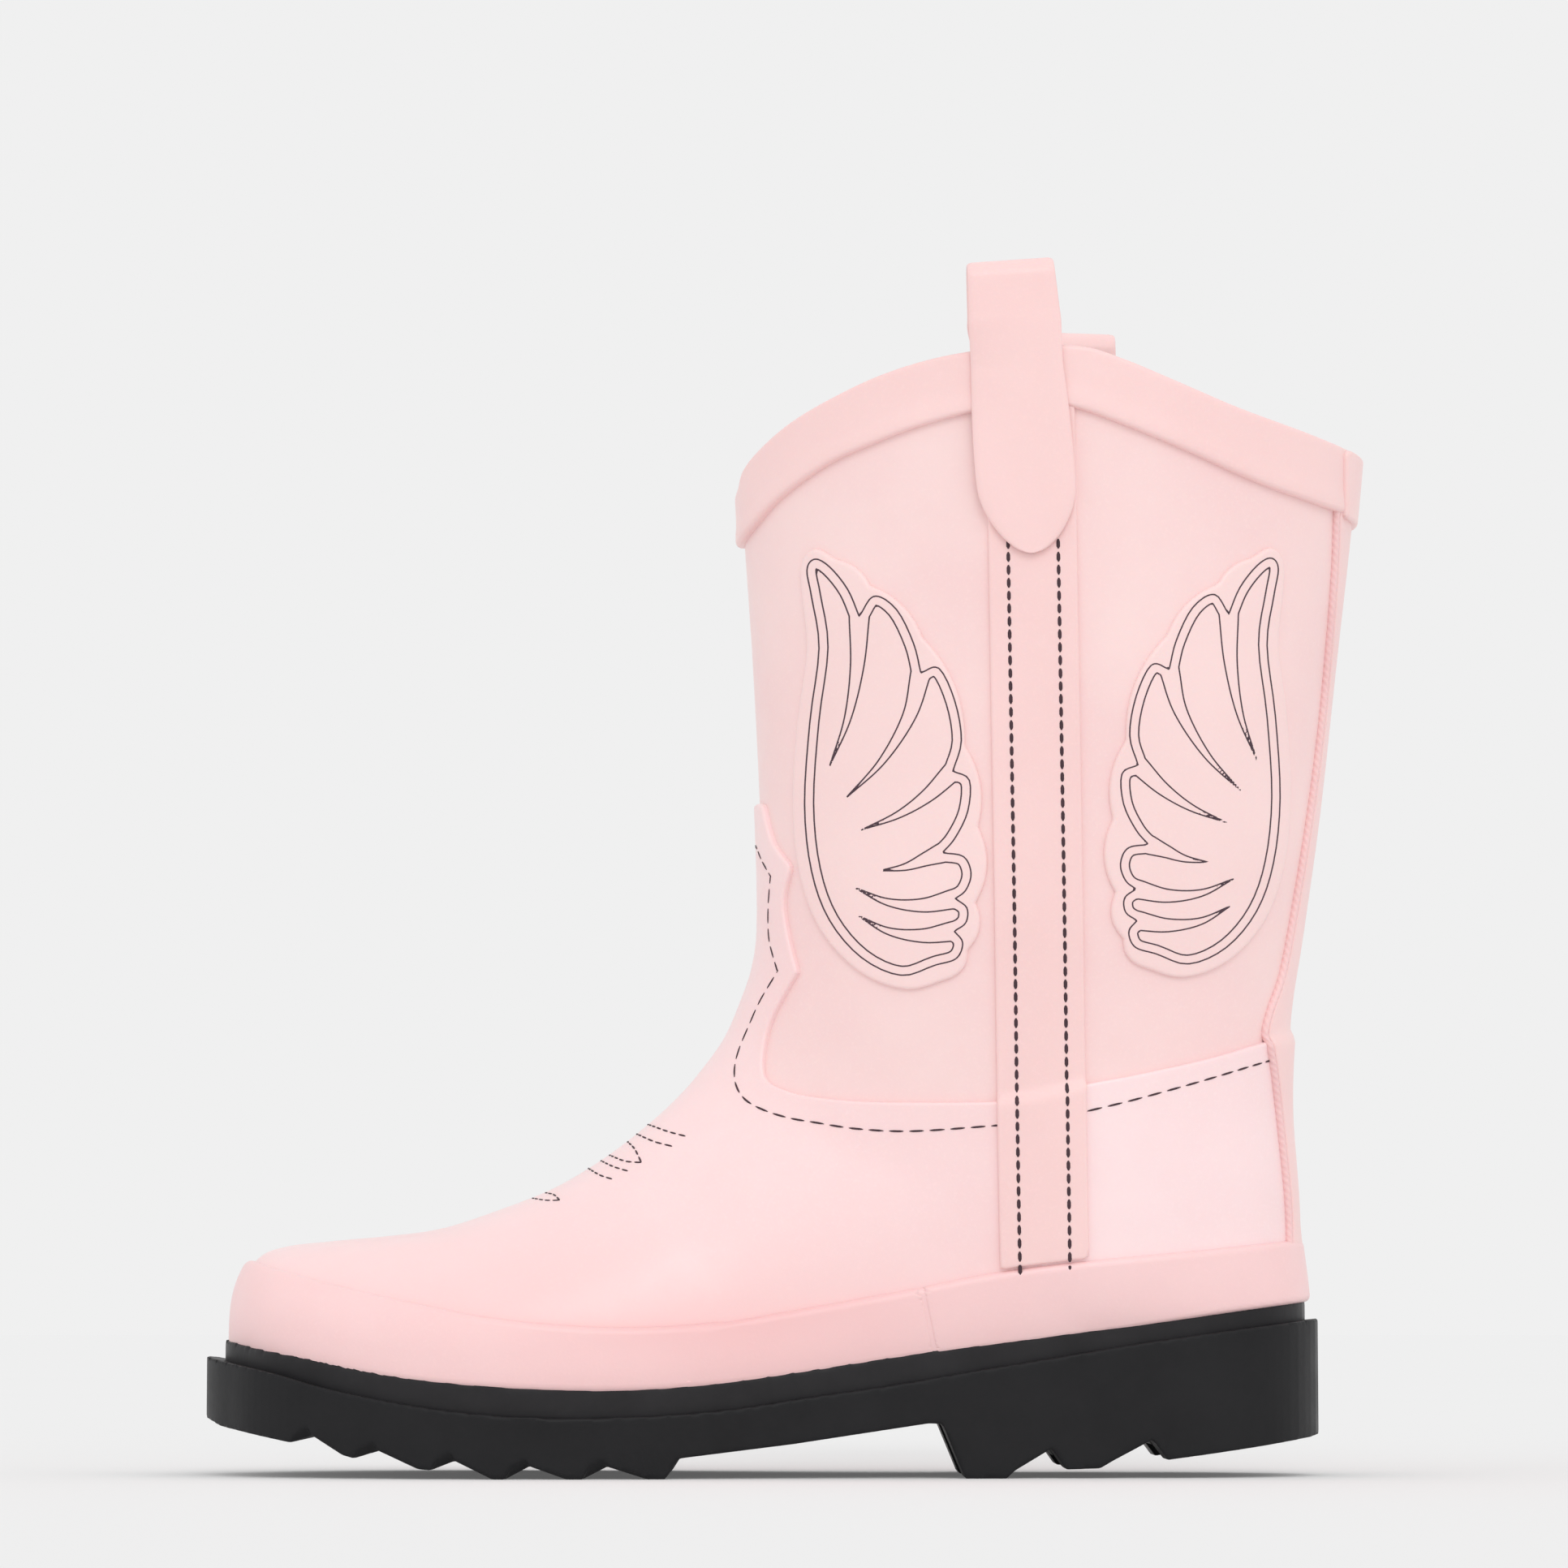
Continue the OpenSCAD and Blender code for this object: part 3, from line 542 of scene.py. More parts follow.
def black_rubber(name, light, deep, rough=(0.42, 0.58)):
    """Moulded black rubber: slightly grey bloom, fine mould grain."""
    m = Nodes(name)
    bloom = m.spread(m.noise(60, 5, 0.6), 0.35, 0.7)
    grain = m.noise(1100, 3, 0.65)
    colour = m.mixed(bloom, deep, light)
    soft = m.bump(m.noise(130, 3, 0.5), 0.2, 0.4)
    normal = m.bump(grain, 0.03, 0.7, soft)
    m.set(Specular_IOR_Level=0.2)
    return m.done(colour, m.spread(bloom, 0, 1, *rough), normal)


def knit(name, light, deep, pitch=0.9):
    """Fine knitted cloth: rows of loops, with fuzz."""
    m = Nodes(name)
    waves = []
    for axis in ("X", "Z"):
        w = m.tree.nodes.new("ShaderNodeTexWave")
        w.bands_direction = axis
        w.inputs["Scale"].default_value = 1 / (pitch * MM) / 20 * 3.1416 * 2
        w.inputs["Distortion"].default_value = 1.2
        w.inputs["Detail"].default_value = 2
        w.inputs["Detail Scale"].default_value = 3
        m.link(m.place, w.inputs["Vector"])
        waves.append(w.outputs["Fac"])
    both = m.tree.nodes.new("ShaderNodeMath")
    both.operation = "MULTIPLY"
    m.link(waves[0], both.inputs[0])
    m.link(waves[1], both.inputs[1])
    fuzz = m.noise(2200, 4, 0.7)
    colour = m.mixed(both.outputs[0], deep, light)
    normal = m.bump(fuzz, 0.08, 0.6, m.bump(both.outputs[0], 0.25, 0.8))
    m.set(Sheen_Weight=0.3, Sheen_Roughness=0.6, Specular_IOR_Level=0.2)
    return m.done(colour, m.spread(fuzz, 0.2, 0.8, 0.8, 0.95), normal)


def pressed_sheet(name, light, deep, flecks=900.0):
    """Fibre board or stiffener sheet: flecked, matt, slightly uneven."""
    m = Nodes(name)
    fleck = m.spread(m.noise(flecks, 5, 0.75), 0.4, 0.6)
    cloud = m.spread(m.noise(50, 3), 0.3, 0.7)
    colour = m.mixed(fleck, m.mixed(cloud, deep, light), tuple(c * 0.8 for c in deep))
    normal = m.bump(fleck, 0.06, 0.6)
    m.set(Specular_IOR_Level=0.25)
    return m.done(colour, m.spread(cloud, 0, 1, 0.75, 0.9), normal)


def ink(name, light, deep):
    """Print or moulded stitch: nearly black, a little uneven, satin."""
    m = Nodes(name)
    blot = m.spread(m.noise(700, 4, 0.7), 0.3, 0.7)
    normal = m.bump(m.noise(2600, 2, 0.6), 0.02, 0.5)
    m.set(Specular_IOR_Level=0.35)
    return m.done(m.mixed(blot, deep, light), m.spread(blot, 0, 1, 0.45, 0.6), normal)


shaft_pink = pink_rubber("shaft_pink", linear(250, 219, 217), linear(247, 212, 211))
# the vamp carries painted shade: a deeper pink towards its lower edge along the rand
vamp_pink = pink_rubber(
    "vamp_pink", linear(252, 221, 221), linear(249, 215, 215), (0.3, 0.42),
    (linear(246, 200, 199), (-30, 0, 26), (170, 170, 34)),
)
counter_pink = pink_rubber("counter_pink", linear(253, 226, 227), linear(250, 220, 221), (0.3, 0.42))
# the rand carries painted shade: a deeper pink round the middle of its outer side
rand_pink = pink_rubber(
    "rand_pink", linear(249, 211, 211), linear(246, 206, 206), (0.34, 0.46),
    (linear(241, 190, 190), (-14, -30, 36), (75, 75, 34)),
)
strip_pink = pink_rubber("strip_pink", linear(250, 213, 211), linear(246, 208, 206), (0.4, 0.5))
band_pink = pink_rubber("band_pink", linear(250, 214, 212), linear(247, 209, 207), (0.34, 0.46))
wing_pink = pink_rubber("wing_pink", linear(250, 219, 217), linear(247, 215, 213), (0.36, 0.46))
cord_pink = pink_rubber("cord_pink", linear(248, 208, 207), linear(240, 197, 197), (0.45, 0.55))
sole_black = black_rubber("sole_black", linear(31, 31, 33), linear(24, 24, 26))
midsole_black = black_rubber("midsole_black", linear(43, 42, 44), linear(34, 33, 35), (0.4, 0.52))
lining_cloth = knit("lining_cloth", linear(240, 216, 214), linear(226, 196, 195))
insole_cloth = knit("insole_cloth", linear(232, 204, 203), linear(214, 184, 184), 1.1)
board_brown = pressed_sheet("board_brown", linear(196, 172, 136), linear(178, 150, 112))
stiffener_sheet = pressed_sheet("stiffener_sheet", linear(222, 214, 196), linear(206, 196, 176), 500.0)
stitch_ink = ink("stitch_ink", linear(74, 48, 56), linear(54, 36, 44))
line_ink = ink("line_ink", linear(84, 62, 72), linear(60, 42, 52))

# ---- the upper

fine = body_grid(1.25)
fine_points = surface(*fine)
X, Z = fine_points[..., 0], fine_points[..., 2]


def depth_of(field):
    return true_depth(fine, fine_points, field)


rim_depth = depth_of(height_at(RIM, X) - Z)
band_depth = depth_of(Z - height_at(BAND, X))
rand_top = depth_of(height_at(RAND, X) - Z)
foot_depth = depth_of(Z - height_at(FOOT, X))
rand_depth = np.minimum(rand_top, depth_of(Z - height_at(LIP, X)) + 0.7)
vamp_outline = np.concatenate([
    smooth_line(VAMP), [(56, 73.2), (56, -20), (-150, -20), (-150, 132.2)],
])
# where the strips step down from the vamp or counter to the shaft
step_line = np.concatenate([
    [(4.5, 74.3), (9, 73.2), (18.5, 72.3), (30, 71.9), (45, 72)], smooth_line(COUNTER),
])
stay_line = smooth_line(STAY)[::-1]


def step_rise(points):
    """LAYER_T where a strip lies over the vamp or counter, 0 above, with a soft climb between."""
    over = np.interp(points[:, 0], step_line[:, 0], step_line[:, 1]) - points[:, 2]
    return LAYER_T * ease((over + 1.6) / 2.6)


def strip_top(points):
    return LAYER_T + step_rise(points)


def band_top(points):
    """The band, with its lower edge standing a little further out."""
    over = points[:, 2] - height_at(BAND, points[:, 0])
    return BAND_T + 0.35 * np.exp(-(((over - 1.4) / 2.2) ** 2))


def stand_for(obj, node, body="boot"):
    """Puts obj in place of a CAD node."""
    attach(obj, body)
    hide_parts(node)


def least(*fields):
    return functools.reduce(np.minimum, fields)


def layer(name, grid, fields, low, high, radius, material, node, slot="pink_rubber", **more):
    """A patch on the body's own grid where every field is above 0, in place of a CAD node."""
    depth = least(*fields)
    obj = patch(name, grid, depth, place_body, low, high, radius, material, **more)
    stand_for(obj, node)


layer(
    "shaft", fine, (rim_depth - 0.5, foot_depth + 2.5), -0.6, 0.0, 0.5, shaft_pink, "boot_shell",
)
vamp_depth = depth_of(depth_in(vamp_outline, X, Z))
vamp_depth = np.where(X > 20, np.minimum(vamp_depth, 54.2 - X), vamp_depth)
layer(
    "vamp_layer", fine, (vamp_depth, foot_depth + 2), -0.3, LAYER_T, 0.55, vamp_pink, "vamp",
)
counter_depth = depth_of(np.interp(X, *smooth_line(COUNTER).T) - Z)
layer(
    "counter_layer", fine, (counter_depth, X - 51.8, foot_depth + 2),
    -0.3, LAYER_T, 0.55, counter_pink, "counter",
)
seam = (37.8 - Z * 0.2 - X) * 2
layer(
    "toe_rand_layer", fine, (rand_depth, seam),
    LAYER_ROOT, RAND_T, 1.5, rand_pink, "toe_rand", rise=1.3,
)
layer(
    "heel_rand_layer", fine, (rand_depth, -seam - 0.2),
    LAYER_ROOT, RAND_T, 1.3, rand_pink, "heel_rand", rise=1.2,
)
# the butt joint of the two rands is a shallow line
layer(
    "rand_joint", fine, (rand_depth - 0.2, 1.6 - np.abs(seam / 2)),
    LAYER_ROOT, RAND_T - 0.22, 0.8, rand_pink, "toe_rand", rise=0.9,
)
stay_depth = depth_of(X - np.interp(Z, stay_line[:, 1], stay_line[:, 0]))
layer(
    "back_stay_layer", fine, (stay_depth, 1.5 - rand_top, 1.5 - band_depth),
    LAYER_ROOT, strip_top, 0.45, strip_pink, "back_stay", "pink_rubber_raised",
)
layer(
    "collar_band_layer", fine, (rim_depth, band_depth),
    -3.4, band_top, 0.8, band_pink, "collar_band", rise=0.8,
)
layer(
    "collar_patch_layer", fine, (rim_depth - 0.3, band_depth + 0.9, (X - 112.8) * 1.2),
    0.2, BAND_T + 0.9, 0.6, band_pink, "collar_patch",
)
coarse = body_grid(2.0)
coarse_points = surface(*coarse)
lining_x, lining_z = coarse_points[..., 0], coarse_points[..., 2]
lining_fields = (
    true_depth(coarse, coarse_points, height_at(RIM, lining_x) - lining_z) - 0.9,
    true_depth(coarse, coarse_points, lining_z - height_at(FOOT, lining_x)) - 2.0,
)
layer(
    "lining_cloth_layer", coarse, lining_fields,
    -2.6, -LINING_IN, 0.6, lining_cloth, "lining", "lining_fabric", rise=-0.5,
)


def side_patch(name, side, box, step, depth, low, high, radius, material, **more):
    """A patch drawn in the side view of one side of the boot."""
    x0, x1, z0, z1 = box
    x = np.linspace(x0, x1, int((x1 - x0) / step) + 1)
    z = np.linspace(z1, z0, int((z1 - z0) / step) + 1)
    z, x = np.meshgrid(z, x, indexing="ij")
    return patch(name, (x, z), depth(x, z), seen_from(side), low, high, radius, material, **more)


# side strips
for (side, side_name), middle in zip(SIDES, STRIP_X):
    def strip_depth(x, z, middle=middle):
        across = STRIP_W / 2 - np.abs(x - middle - (STRIP_TRUE_Z - z) * STRIP_LEAN)
        foot = z - height_at(RAND, x) - 0.5
        return least(across, foot, height_at(BAND, x) + 2 - z)

    strip = side_patch(
        f"{side_name}_strip", side, (middle - 12, middle + 14, 36, 210), 1.1, strip_depth,
        LAYER_ROOT, strip_top, 0.55, strip_pink,
    )
    stand_for(strip, f"{side_name}_side_strip")

# ---- wings

WING_LEAD = [
    (36, 95.5), (28, 93.5), (19, 97), (11.5, 105.5), (7.5, 117), (6.3, 131), (7.3, 147), (9, 160),
    (8, 171), (8, 177), (10.5, 179.5), (14.5, 177),
]
# ends of the scallops and how far each one bulges
WING_SCALLOPS = [
    (14.5, 177, 0), (21, 171.5, 1), (31, 161, 1.6), (39, 140, 2.4), (41.5, 124.5, 1.8),
    (41, 110, 2), (39.5, 101, 1.6), (36, 95.5, 1.2),
]
# printed outline: leading edge, then the cusp and the arc points of each feather
PRINT_LEAD = [
    (33.5, 98.2), (27, 96.3), (19.6, 99.8), (13.6, 107.2), (10.2, 117), (8.9, 130), (9.9, 146),
    (11.6, 160), (10.2, 170), (9.3, 175.5), (10.8, 177.4), (13.6, 175.6), (17, 171), (19.2, 165.6),
]
PRINT_FEATHERS = [
    [(19.2, 165.6), (22, 169.4), (26.2, 166.6), (29.4, 160), (30.8, 154.2)],
    [(30.8, 154.2), (34.2, 155), (37.2, 148.6), (38.4, 141), (36.8, 135.2)],
    [(36.8, 135.2), (39.9, 133.4), (39.6, 127.5), (37.2, 122.4), (34.8, 119.6)],
    [(34.8, 119.6), (38.8, 118.8), (40.2, 115.6), (39.2, 112.4), (37.2, 110.8)],
    [(37.2, 110.8), (39.4, 109), (39.2, 106.2), (37, 104.6)],
    [(37, 104.6), (38.6, 102.4), (37.4, 99.4), (33.5, 98.2)],
]
# middle of the gap between two feathers: from its mouth to its point
PRINT_GAPS = [
    [(19.2, 165.6), (18.8, 156), (17, 146), (13.6, 137)],
    [(30.8, 154.2), (28.6, 146), (23.4, 137.4), (16.6, 130.6)],
    [(36.8, 135.2), (32, 130.6), (26.4, 127), (19.6, 124.4)],
    [(34.8, 119.6), (31.6, 118.4), (27.8, 117), (23, 116.4)],
    [(37.2, 110.8), (31, 109.6), (24.4, 110.4), (18.2, 113.4)],
    [(37, 104.6), (31, 103.8), (24.6, 104.8), (18.8, 108)],
]
PRINT_GAP_W = 1.9
PRINT_INSET = 1.7
PRINT_LINE = 0.27


def patch_outline():
    points = list(smooth_line(WING_LEAD))
    for a, b in zip(WING_SCALLOPS, WING_SCALLOPS[1:]):
        v = np.array([b[0] - a[0], b[1] - a[1]])
        n = np.array([-v[1], v[0]]) / np.hypot(*v)
        for u in np.linspace(0.1, 1, 10):
            points.append(np.array(a[:2]) + v * u + n * b[2] * 4 * u * (1 - u))
    return np.array(points[:-1])


WING_OUTLINE = patch_outline()
PRINT_OUTLINE = np.concatenate([smooth_line(part)[:-1] for part in (PRINT_LEAD, *PRINT_FEATHERS)])


def outline_print(x, z):
    return depth_in(PRINT_OUTLINE, x, z)


def feather_print(x, z):
    """Inside the feathers: inset from the outline, clear of the tapering gaps between them."""
    d = outline_print(x, z) - PRINT_INSET
    for gap in PRINT_GAPS:
        line = smooth_line(gap, 0.1)
        share = np.linspace(1, 0, len(line))
        best = np.full(np.shape(x), 1e9)
        for (a, b), s in zip(zip(line[:-1], line[1:]), share):
            v = b - a
            u = np.clip(((x - a[0]) * v[0] + (z - a[1]) * v[1]) / (v @ v), 0, 1)
            r = np.hypot(x - a[0] - u * v[0], z - a[1] - u * v[1])
            best = np.minimum(best, r - PRINT_GAP_W * (s - u / len(line)))
        d = np.minimum(d, best)
    return d


WING_BOXES = {"front": (4.3, 45.3, 91, 183), "rear": (63.5, 104.5, 94, 183)}
WING_TOP = 177


def wing_view(x, z, where):
    """Side-view coordinates of a rear wing, turned into those of the front wing."""
    return (108.8 - x, WING_TOP + (z - WING_TOP) / 0.97) if where == "rear" else (x, z)


for side, side_name in SIDES:
    for where, box in WING_BOXES.items():
        wing = side_patch(
            f"{side_name}_{where}_wing_patch", side, box, 0.9,
            lambda x, z, where=where: depth_in(WING_OUTLINE, *wing_view(x, z, where)),
            LAYER_ROOT, WING_T, 0.7, wing_pink, rise=0.65,
        )
        stand_for(wing, f"{side_name}_{where}_wing")
        for label, drawing in (("outline", outline_print), ("feathers", feather_print)):
            def line_depth(x, z, where=where, drawing=drawing):
                return drawing(*wing_view(x, z, where)) + PRINT_LINE / 2

            line = side_patch(
                f"{side_name}_{where}_wing_{label}", side, box, 0.45, line_depth,
                WING_T - 0.05, WING_T + 0.03, 0.1, line_ink, keep=PRINT_LINE,
            )
            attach(line, "boot")

# ---- stitches


def walk(points, out, step):
    """Points and directions at equal steps along a path."""
    gone = np.concatenate([[0], np.cumsum(np.linalg.norm(np.diff(points, axis=0), axis=1))])
    s = np.arange(0, gone[-1], step)
    at = np.stack([np.interp(s, gone, points[:, k]) for k in range(3)], -1)
    way = np.stack([np.interp(s, gone, out[:, k]) for k in range(3)], -1)
    return at, unit(way)


# dash, space between dashes, width
STRIP_DASH = (1.9, 0.6, 0.8)
LAYER_DASH = (2.9, 1.1, 0.44)
TOE_DASH = (1.9, 0.7, 0.42)
STITCH_STEP = 0.1
# a dash's section (offset in half widths, height) and how wide it is from end to end
DASH_ACROSS = np.array([-1, -0.75, -0.35, 0, 0.35, 0.75, 1])
DASH_CROWN = np.array([-0.06, 0.09, 0.15, 0.17, 0.15, 0.09, -0.06])
DASH_ENDS = np.array([0.35, 0.8, 1, 1, 1, 1, 0.8, 0.35])


def side_stitches(name, side, line, height, size):
    """Raised dashes that fill a side-view path. height is that of the surface under them."""
    line = smooth_line(line, 0.01)
    at, way = walk(*seen_from(side)(line[:, 0].copy(), line[:, 1].copy()), STITCH_STEP)
    lift = height(at) if callable(height) else np.full(len(at), float(height))
    at = at + way * lift[:, None]
    dash, space, width = size
    gap = space / STITCH_STEP
    count = max(1, round((len(at) - 1 + gap) / (dash / STITCH_STEP + gap)))
    pitch = (len(at) - 1 + gap) / count
    across = DASH_ACROSS * width / 2
    cloud, faces = [], []
    for start in np.arange(count) * pitch:
        rows = np.linspace(start, start + pitch - gap, len(DASH_ENDS)).astype(int)
        along = at[rows[-1]] - at[rows[0]]
        first = len(cloud)
        for r, narrow in zip(rows, DASH_ENDS):
            n = way[r]
            b = unit(np.cross(n, along))
            low = 0.05 * (1 - narrow)
            for k, h in zip(across, DASH_CROWN):
                cloud.append(at[r] + b * k * narrow + n * (h - low))
        faces.append(grid_faces(len(DASH_ENDS), len(across)) + first)
    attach(new_object(name, cloud, np.concatenate(faces), stitch_ink), "boot")


VAMP_STITCH = [
    (-0.2, 123.6), (1, 120.1), (2.4, 117.2), (2.7, 116.6), (2.6, 116), (2.2, 110), (2.4, 104),
    (3.7, 98.4), (3.9, 97.8), (3.6, 97.2), (0.5, 92), (-1.7, 87.2), (-3.8, 82.2), (-4.7, 78.4),
    (-4.4, 75), (-2.6, 72.2), (1, 70.2), (5.6, 68.8), (10.5, 68), (18.8, 66.8), (29.6, 66.4),
    (47, 67.6),
]
COUNTER_STITCH = [(62.3, 70.2), (72, 72.6), (85.1, 76.4), (98.6, 80.8)]
STRIP_STITCH_Z = (182, 150, 120, 100, 90, 84, 80, 76, 72, 66, 56, 39)
for (side, side_name), middle, shift in zip(SIDES, STRIP_X, (0.0, 7.0)):
    for label, offset in (("front", -4.7), ("rear", 4.8)):
        ends = [(middle + offset + (STRIP_TRUE_Z - z) * STRIP_LEAN, z) for z in STRIP_STITCH_Z]
        side_stitches(f"{side_name}_strip_stitch_{label}", side, ends, strip_top, STRIP_DASH)
    side_stitches(f"{side_name}_vamp_stitch", side, VAMP_STITCH, LAYER_T, LAYER_DASH)
    # the inner strip stands further back, and the counter's row starts behind it
    moved = [shift * (98.6 - x) / 36.3 for x, _ in COUNTER_STITCH]
    back = [(x + m, z + m * 0.25) for (x, z), m in zip(COUNTER_STITCH, moved)]
    side_stitches(f"{side_name}_counter_stitch", side, back, LAYER_T, LAYER_DASH)

# toe stitches in the side view, each from the ridge down
TOE_STITCHES = [
    [(-21.8, 67.6), (-18, 66.1), (-14.4, 65.1)], [(-24, 65.7), (-20.6, 64.1), (-17, 63.1)],
    [(-25.8, 64.2), (-24.3, 62.6), (-23, 59.9)], [(-29.4, 61.5), (-26.2, 60.2), (-23, 59.9)],
    [(-31.1, 60.4), (-28.5, 59.1), (-25.6, 58.2)], [(-33.6, 58.9), (-31.1, 57.4), (-28.7, 56.6)],
    [(-42.1, 54), (-40.2, 53.5), (-39, 52.4)], [(-44.7, 52.9), (-41.7, 52.4), (-39, 52.4)],
]
for side, side_name in SIDES:
    for k, line in enumerate(TOE_STITCHES):
        side_stitches(f"{side_name}_toe_stitch_{k}", side, line, LAYER_T, TOE_DASH)

# ---- cord beside the back stay

CORD_HALF_W, CORD_HALF_H = 0.62, 0.8
CORD_SHIFT, CORD_HEIGHT = -0.32, 0.4  # middle of the cord from the stay's edge and the body
CORD_FOOT_Z = 44.4
CORD_STEP, CORD_FACETS = 0.12, 16
STRANDS, STRAND_PITCH = 3, 1.5
for side, side_name in SIDES:
    line = smooth_line(STAY, 0.04)
    line = line[(line[:, 1] < height_at(BAND, line[:, 0]) + 0.5) & (line[:, 1] > CORD_FOOT_Z)]
    at, way = walk(*seen_from(side)(line[:, 0] + CORD_SHIFT, line[:, 1].copy()), CORD_STEP)
    at = at + way * (CORD_HEIGHT + step_rise(at))[:, None]
    b = np.cross(way, unit(np.gradient(at, axis=0)))
    turn = np.arange(len(at)) * CORD_STEP / STRAND_PITCH * 2 * math.pi
    cloud = []
    for k in range(CORD_FACETS):
        a = 2 * math.pi * k / CORD_FACETS
        r = 1 + 0.1 * np.cos(STRANDS * (a - turn / STRANDS))
        offset = way * math.cos(a) * CORD_HALF_H + b * math.sin(a) * CORD_HALF_W
        cloud.append(at + offset * r[:, None])
    cloud = np.stack(cloud + cloud[:1], 1)
    cord_faces = grid_faces(len(at), CORD_FACETS + 1)
    obj = new_object(f"{side_name}_stay_twist", cloud.reshape(-1, 3), cord_faces, cord_pink)
    stand_for(obj, f"{side_name}_stay_cord")

# ---- pull straps

# height over the hinge and half width of the bonded tab, from its rounded end up
TAB_ROWS = [
    (-40.2, 0.4), (-39.9, 1.6), (-39.2, 3), (-38, 4.4), (-36.4, 5.8), (-34, 7.3), (-31, 8.6),
    (-27.5, 9.3), (-21, 9.4), (-14, 9.25), (-7, 8.9), (-3, 8.7),
]
# the same for the anchor inside, from the hinge down, and its height over the body
ANCHOR_ROWS = [(-3, 8.5), (-7, 8.5), (-13, 8.5), (-19, 8.5), (-24, 8.5), (-25.6, 8.0)]
ANCHOR_OUT = -4.6
LOOP_R = 3.85  # outer radius of the free loop
TAPE_EDGE = 0.87  # where the tape starts to round off, in half widths


def strap(side, side_name, loop, lean_x, top):
    """One tape: bonded outside, up and over in a free loop, and bonded inside."""
    x0, y0, lean = loop
    hinge = np.array([x0, y0, HINGE_Z])
    place = seen_from(side)
    rows = []
    across = np.array(
        [-1, -0.99, -0.95, -TAPE_EDGE, -0.7, -0.35, 0, 0.35, 0.7, TAPE_EDGE, 0.95, 0.99, 1]
    )

    def on_body(z, half, off):
        x = x0 - lean_x * (z - HINGE_Z) + across * half
        points, out = place(x, np.full_like(x, z))
        return points + out * off

    for dz, half in TAB_ROWS:
        rows.append(on_body(HINGE_Z + dz, half, TAB_T - STRAP_T / 2))
    radius = LOOP_R - STRAP_T / 2
    arch = [(-radius, z) for z in (4.0, 7.0, top - 2.5)]
    for a in np.radians(np.arange(0, 181, 15)):
        arch.append((-radius * math.cos(a), top + radius * math.sin(a)))
    arch += [(radius, z) for z in (top - 2.5, 7.0, 4.0)]
    c, s = math.cos(math.radians(lean)), math.sin(math.radians(lean))
    for y, z in arch:
        x = across * (9.1 - 0.6 * z / top)
        point = np.stack([x * c + z * s, np.full_like(x, -side * y), -x * s + z * c], -1)
        rows.append(point + hinge)
    for dz, half in ANCHOR_ROWS:
        rows.append(on_body(HINGE_Z + dz, half, ANCHOR_OUT))
    # finer rows along the tape
    rows = smooth_line(np.array(rows).reshape(len(rows), -1), 0.2).reshape(-1, len(across), 3)
    n = unit(np.cross(np.gradient(rows, axis=0), np.gradient(rows, axis=1)))
    n[:, :] = n[:, len(across) // 2][:, None]
    past_edge = np.clip(np.abs(across) - TAPE_EDGE, 0, 1) / 0.13
    thin = STRAP_T / 2 * np.sqrt(np.clip(1 - past_edge**2, 0.02, 1))
    above, below = rows + n * thin[:, None], rows - n * thin[:, None]
    m = len(across)
    count = len(rows) * m
    faces = grid_faces(len(rows), m)
    faces = np.concatenate([faces, faces[:, ::-1] + count])
    left = np.arange(len(rows)) * m
    first = np.arange(m)
    walls = []
    for edge, flip in ((left, 1), (left + m - 1, -1), (first, -1), (first + count - m, 1)):
        for a, b in zip(edge[:-1], edge[1:]):
            walls += [[a, b, b + count][::flip], [a, b + count, a + count][::flip]]
    cloud = np.concatenate([above.reshape(-1, 3), below.reshape(-1, 3)])
    obj = new_object(f"{side_name}_strap", cloud, np.concatenate([faces, walls]), strip_pink)
    face_outwards(obj.data)
    x, y, z = (hinge + HOME) * MM
    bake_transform(obj)
    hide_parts(*(f"{side_name}_{part}" for part in ("strap_tab", "strap_anchor", "pull_loop")))


strap(OUTER, "outer", OUTER_LOOP, 0.07, 13.15)
strap(INNER, "inner", INNER_LOOP, -0.13, 11.55)

# ---- the sole

# how far each outline stands out from the body, and its change at the toe and the heel
MIDSOLE_RIM = (2.6, 0.6, 0.9)
SOLE_RIM = (4.6, 2.2, 0.4)
INSOLE_RIM = (-6.6, 0.0, 0.0)
BLOCK_LOW, BLOCK_HIGH, BLOCK_SIDE = -5, 60, 60  # bounds of the blocks that outlines are cut from
ROW_Y = 11  # middle of the grooves between the rows of lugs
GROOVE_W = 3.0
OUTLINE_STEPS = 110
# underside of the lugs in side view, heel to toe; the outer and inner rows share it
TREAD = [
    (118, 9.2), (105.7, 7.5), (96, 6), (86, 4.6), (77.7, 3.5), (74.8, 7.4), (67.1, 3.3), (64.7, 1.9),
    (58.2, 1.7), (55.4, 5.7), (48.2, 1.4), (46.8, 0), (38.8, 0), (34.5, 10.4), (31.9, 10.5), (6, 6.6),
    (-15.9, 3.9), (-18.4, 0), (-21.8, 0), (-29.4, 2.4), (-34.1, 0), (-37.1, 0), (-44.2, 2.5),
    (-48.8, 0), (-51.2, 0), (-58.4, 3.5), (-63, 1.7), (-65.4, 1.9), (-73.1, 5.4), (-77.8, 3.9),
    (-80, 4.5), (-86, 8.2), (-90.3, 6.8), (-96.5, 8), (-105, 9.7), (-112, 12.4),
]
# bevelled notches at the ends of the forefoot lugs: foot of the wall, top, and foot of the slope
NOTCHES = [
    ((-34.1, 0), (-31.5, 3.2), (-29.4, 2.4)), ((-48.8, 0), (-46.2, 3.3), (-44.2, 2.5)),
    ((-63, 1.7), (-60.4, 4.6), (-58.4, 3.5)), ((-77.8, 3.9), (-75.3, 6.5), (-73.1, 5.4)),
    ((-90.3, 6.8), (-88.1, 9.5), (-86, 8.2)),
]
NOTCH_DEPTH = 2.2
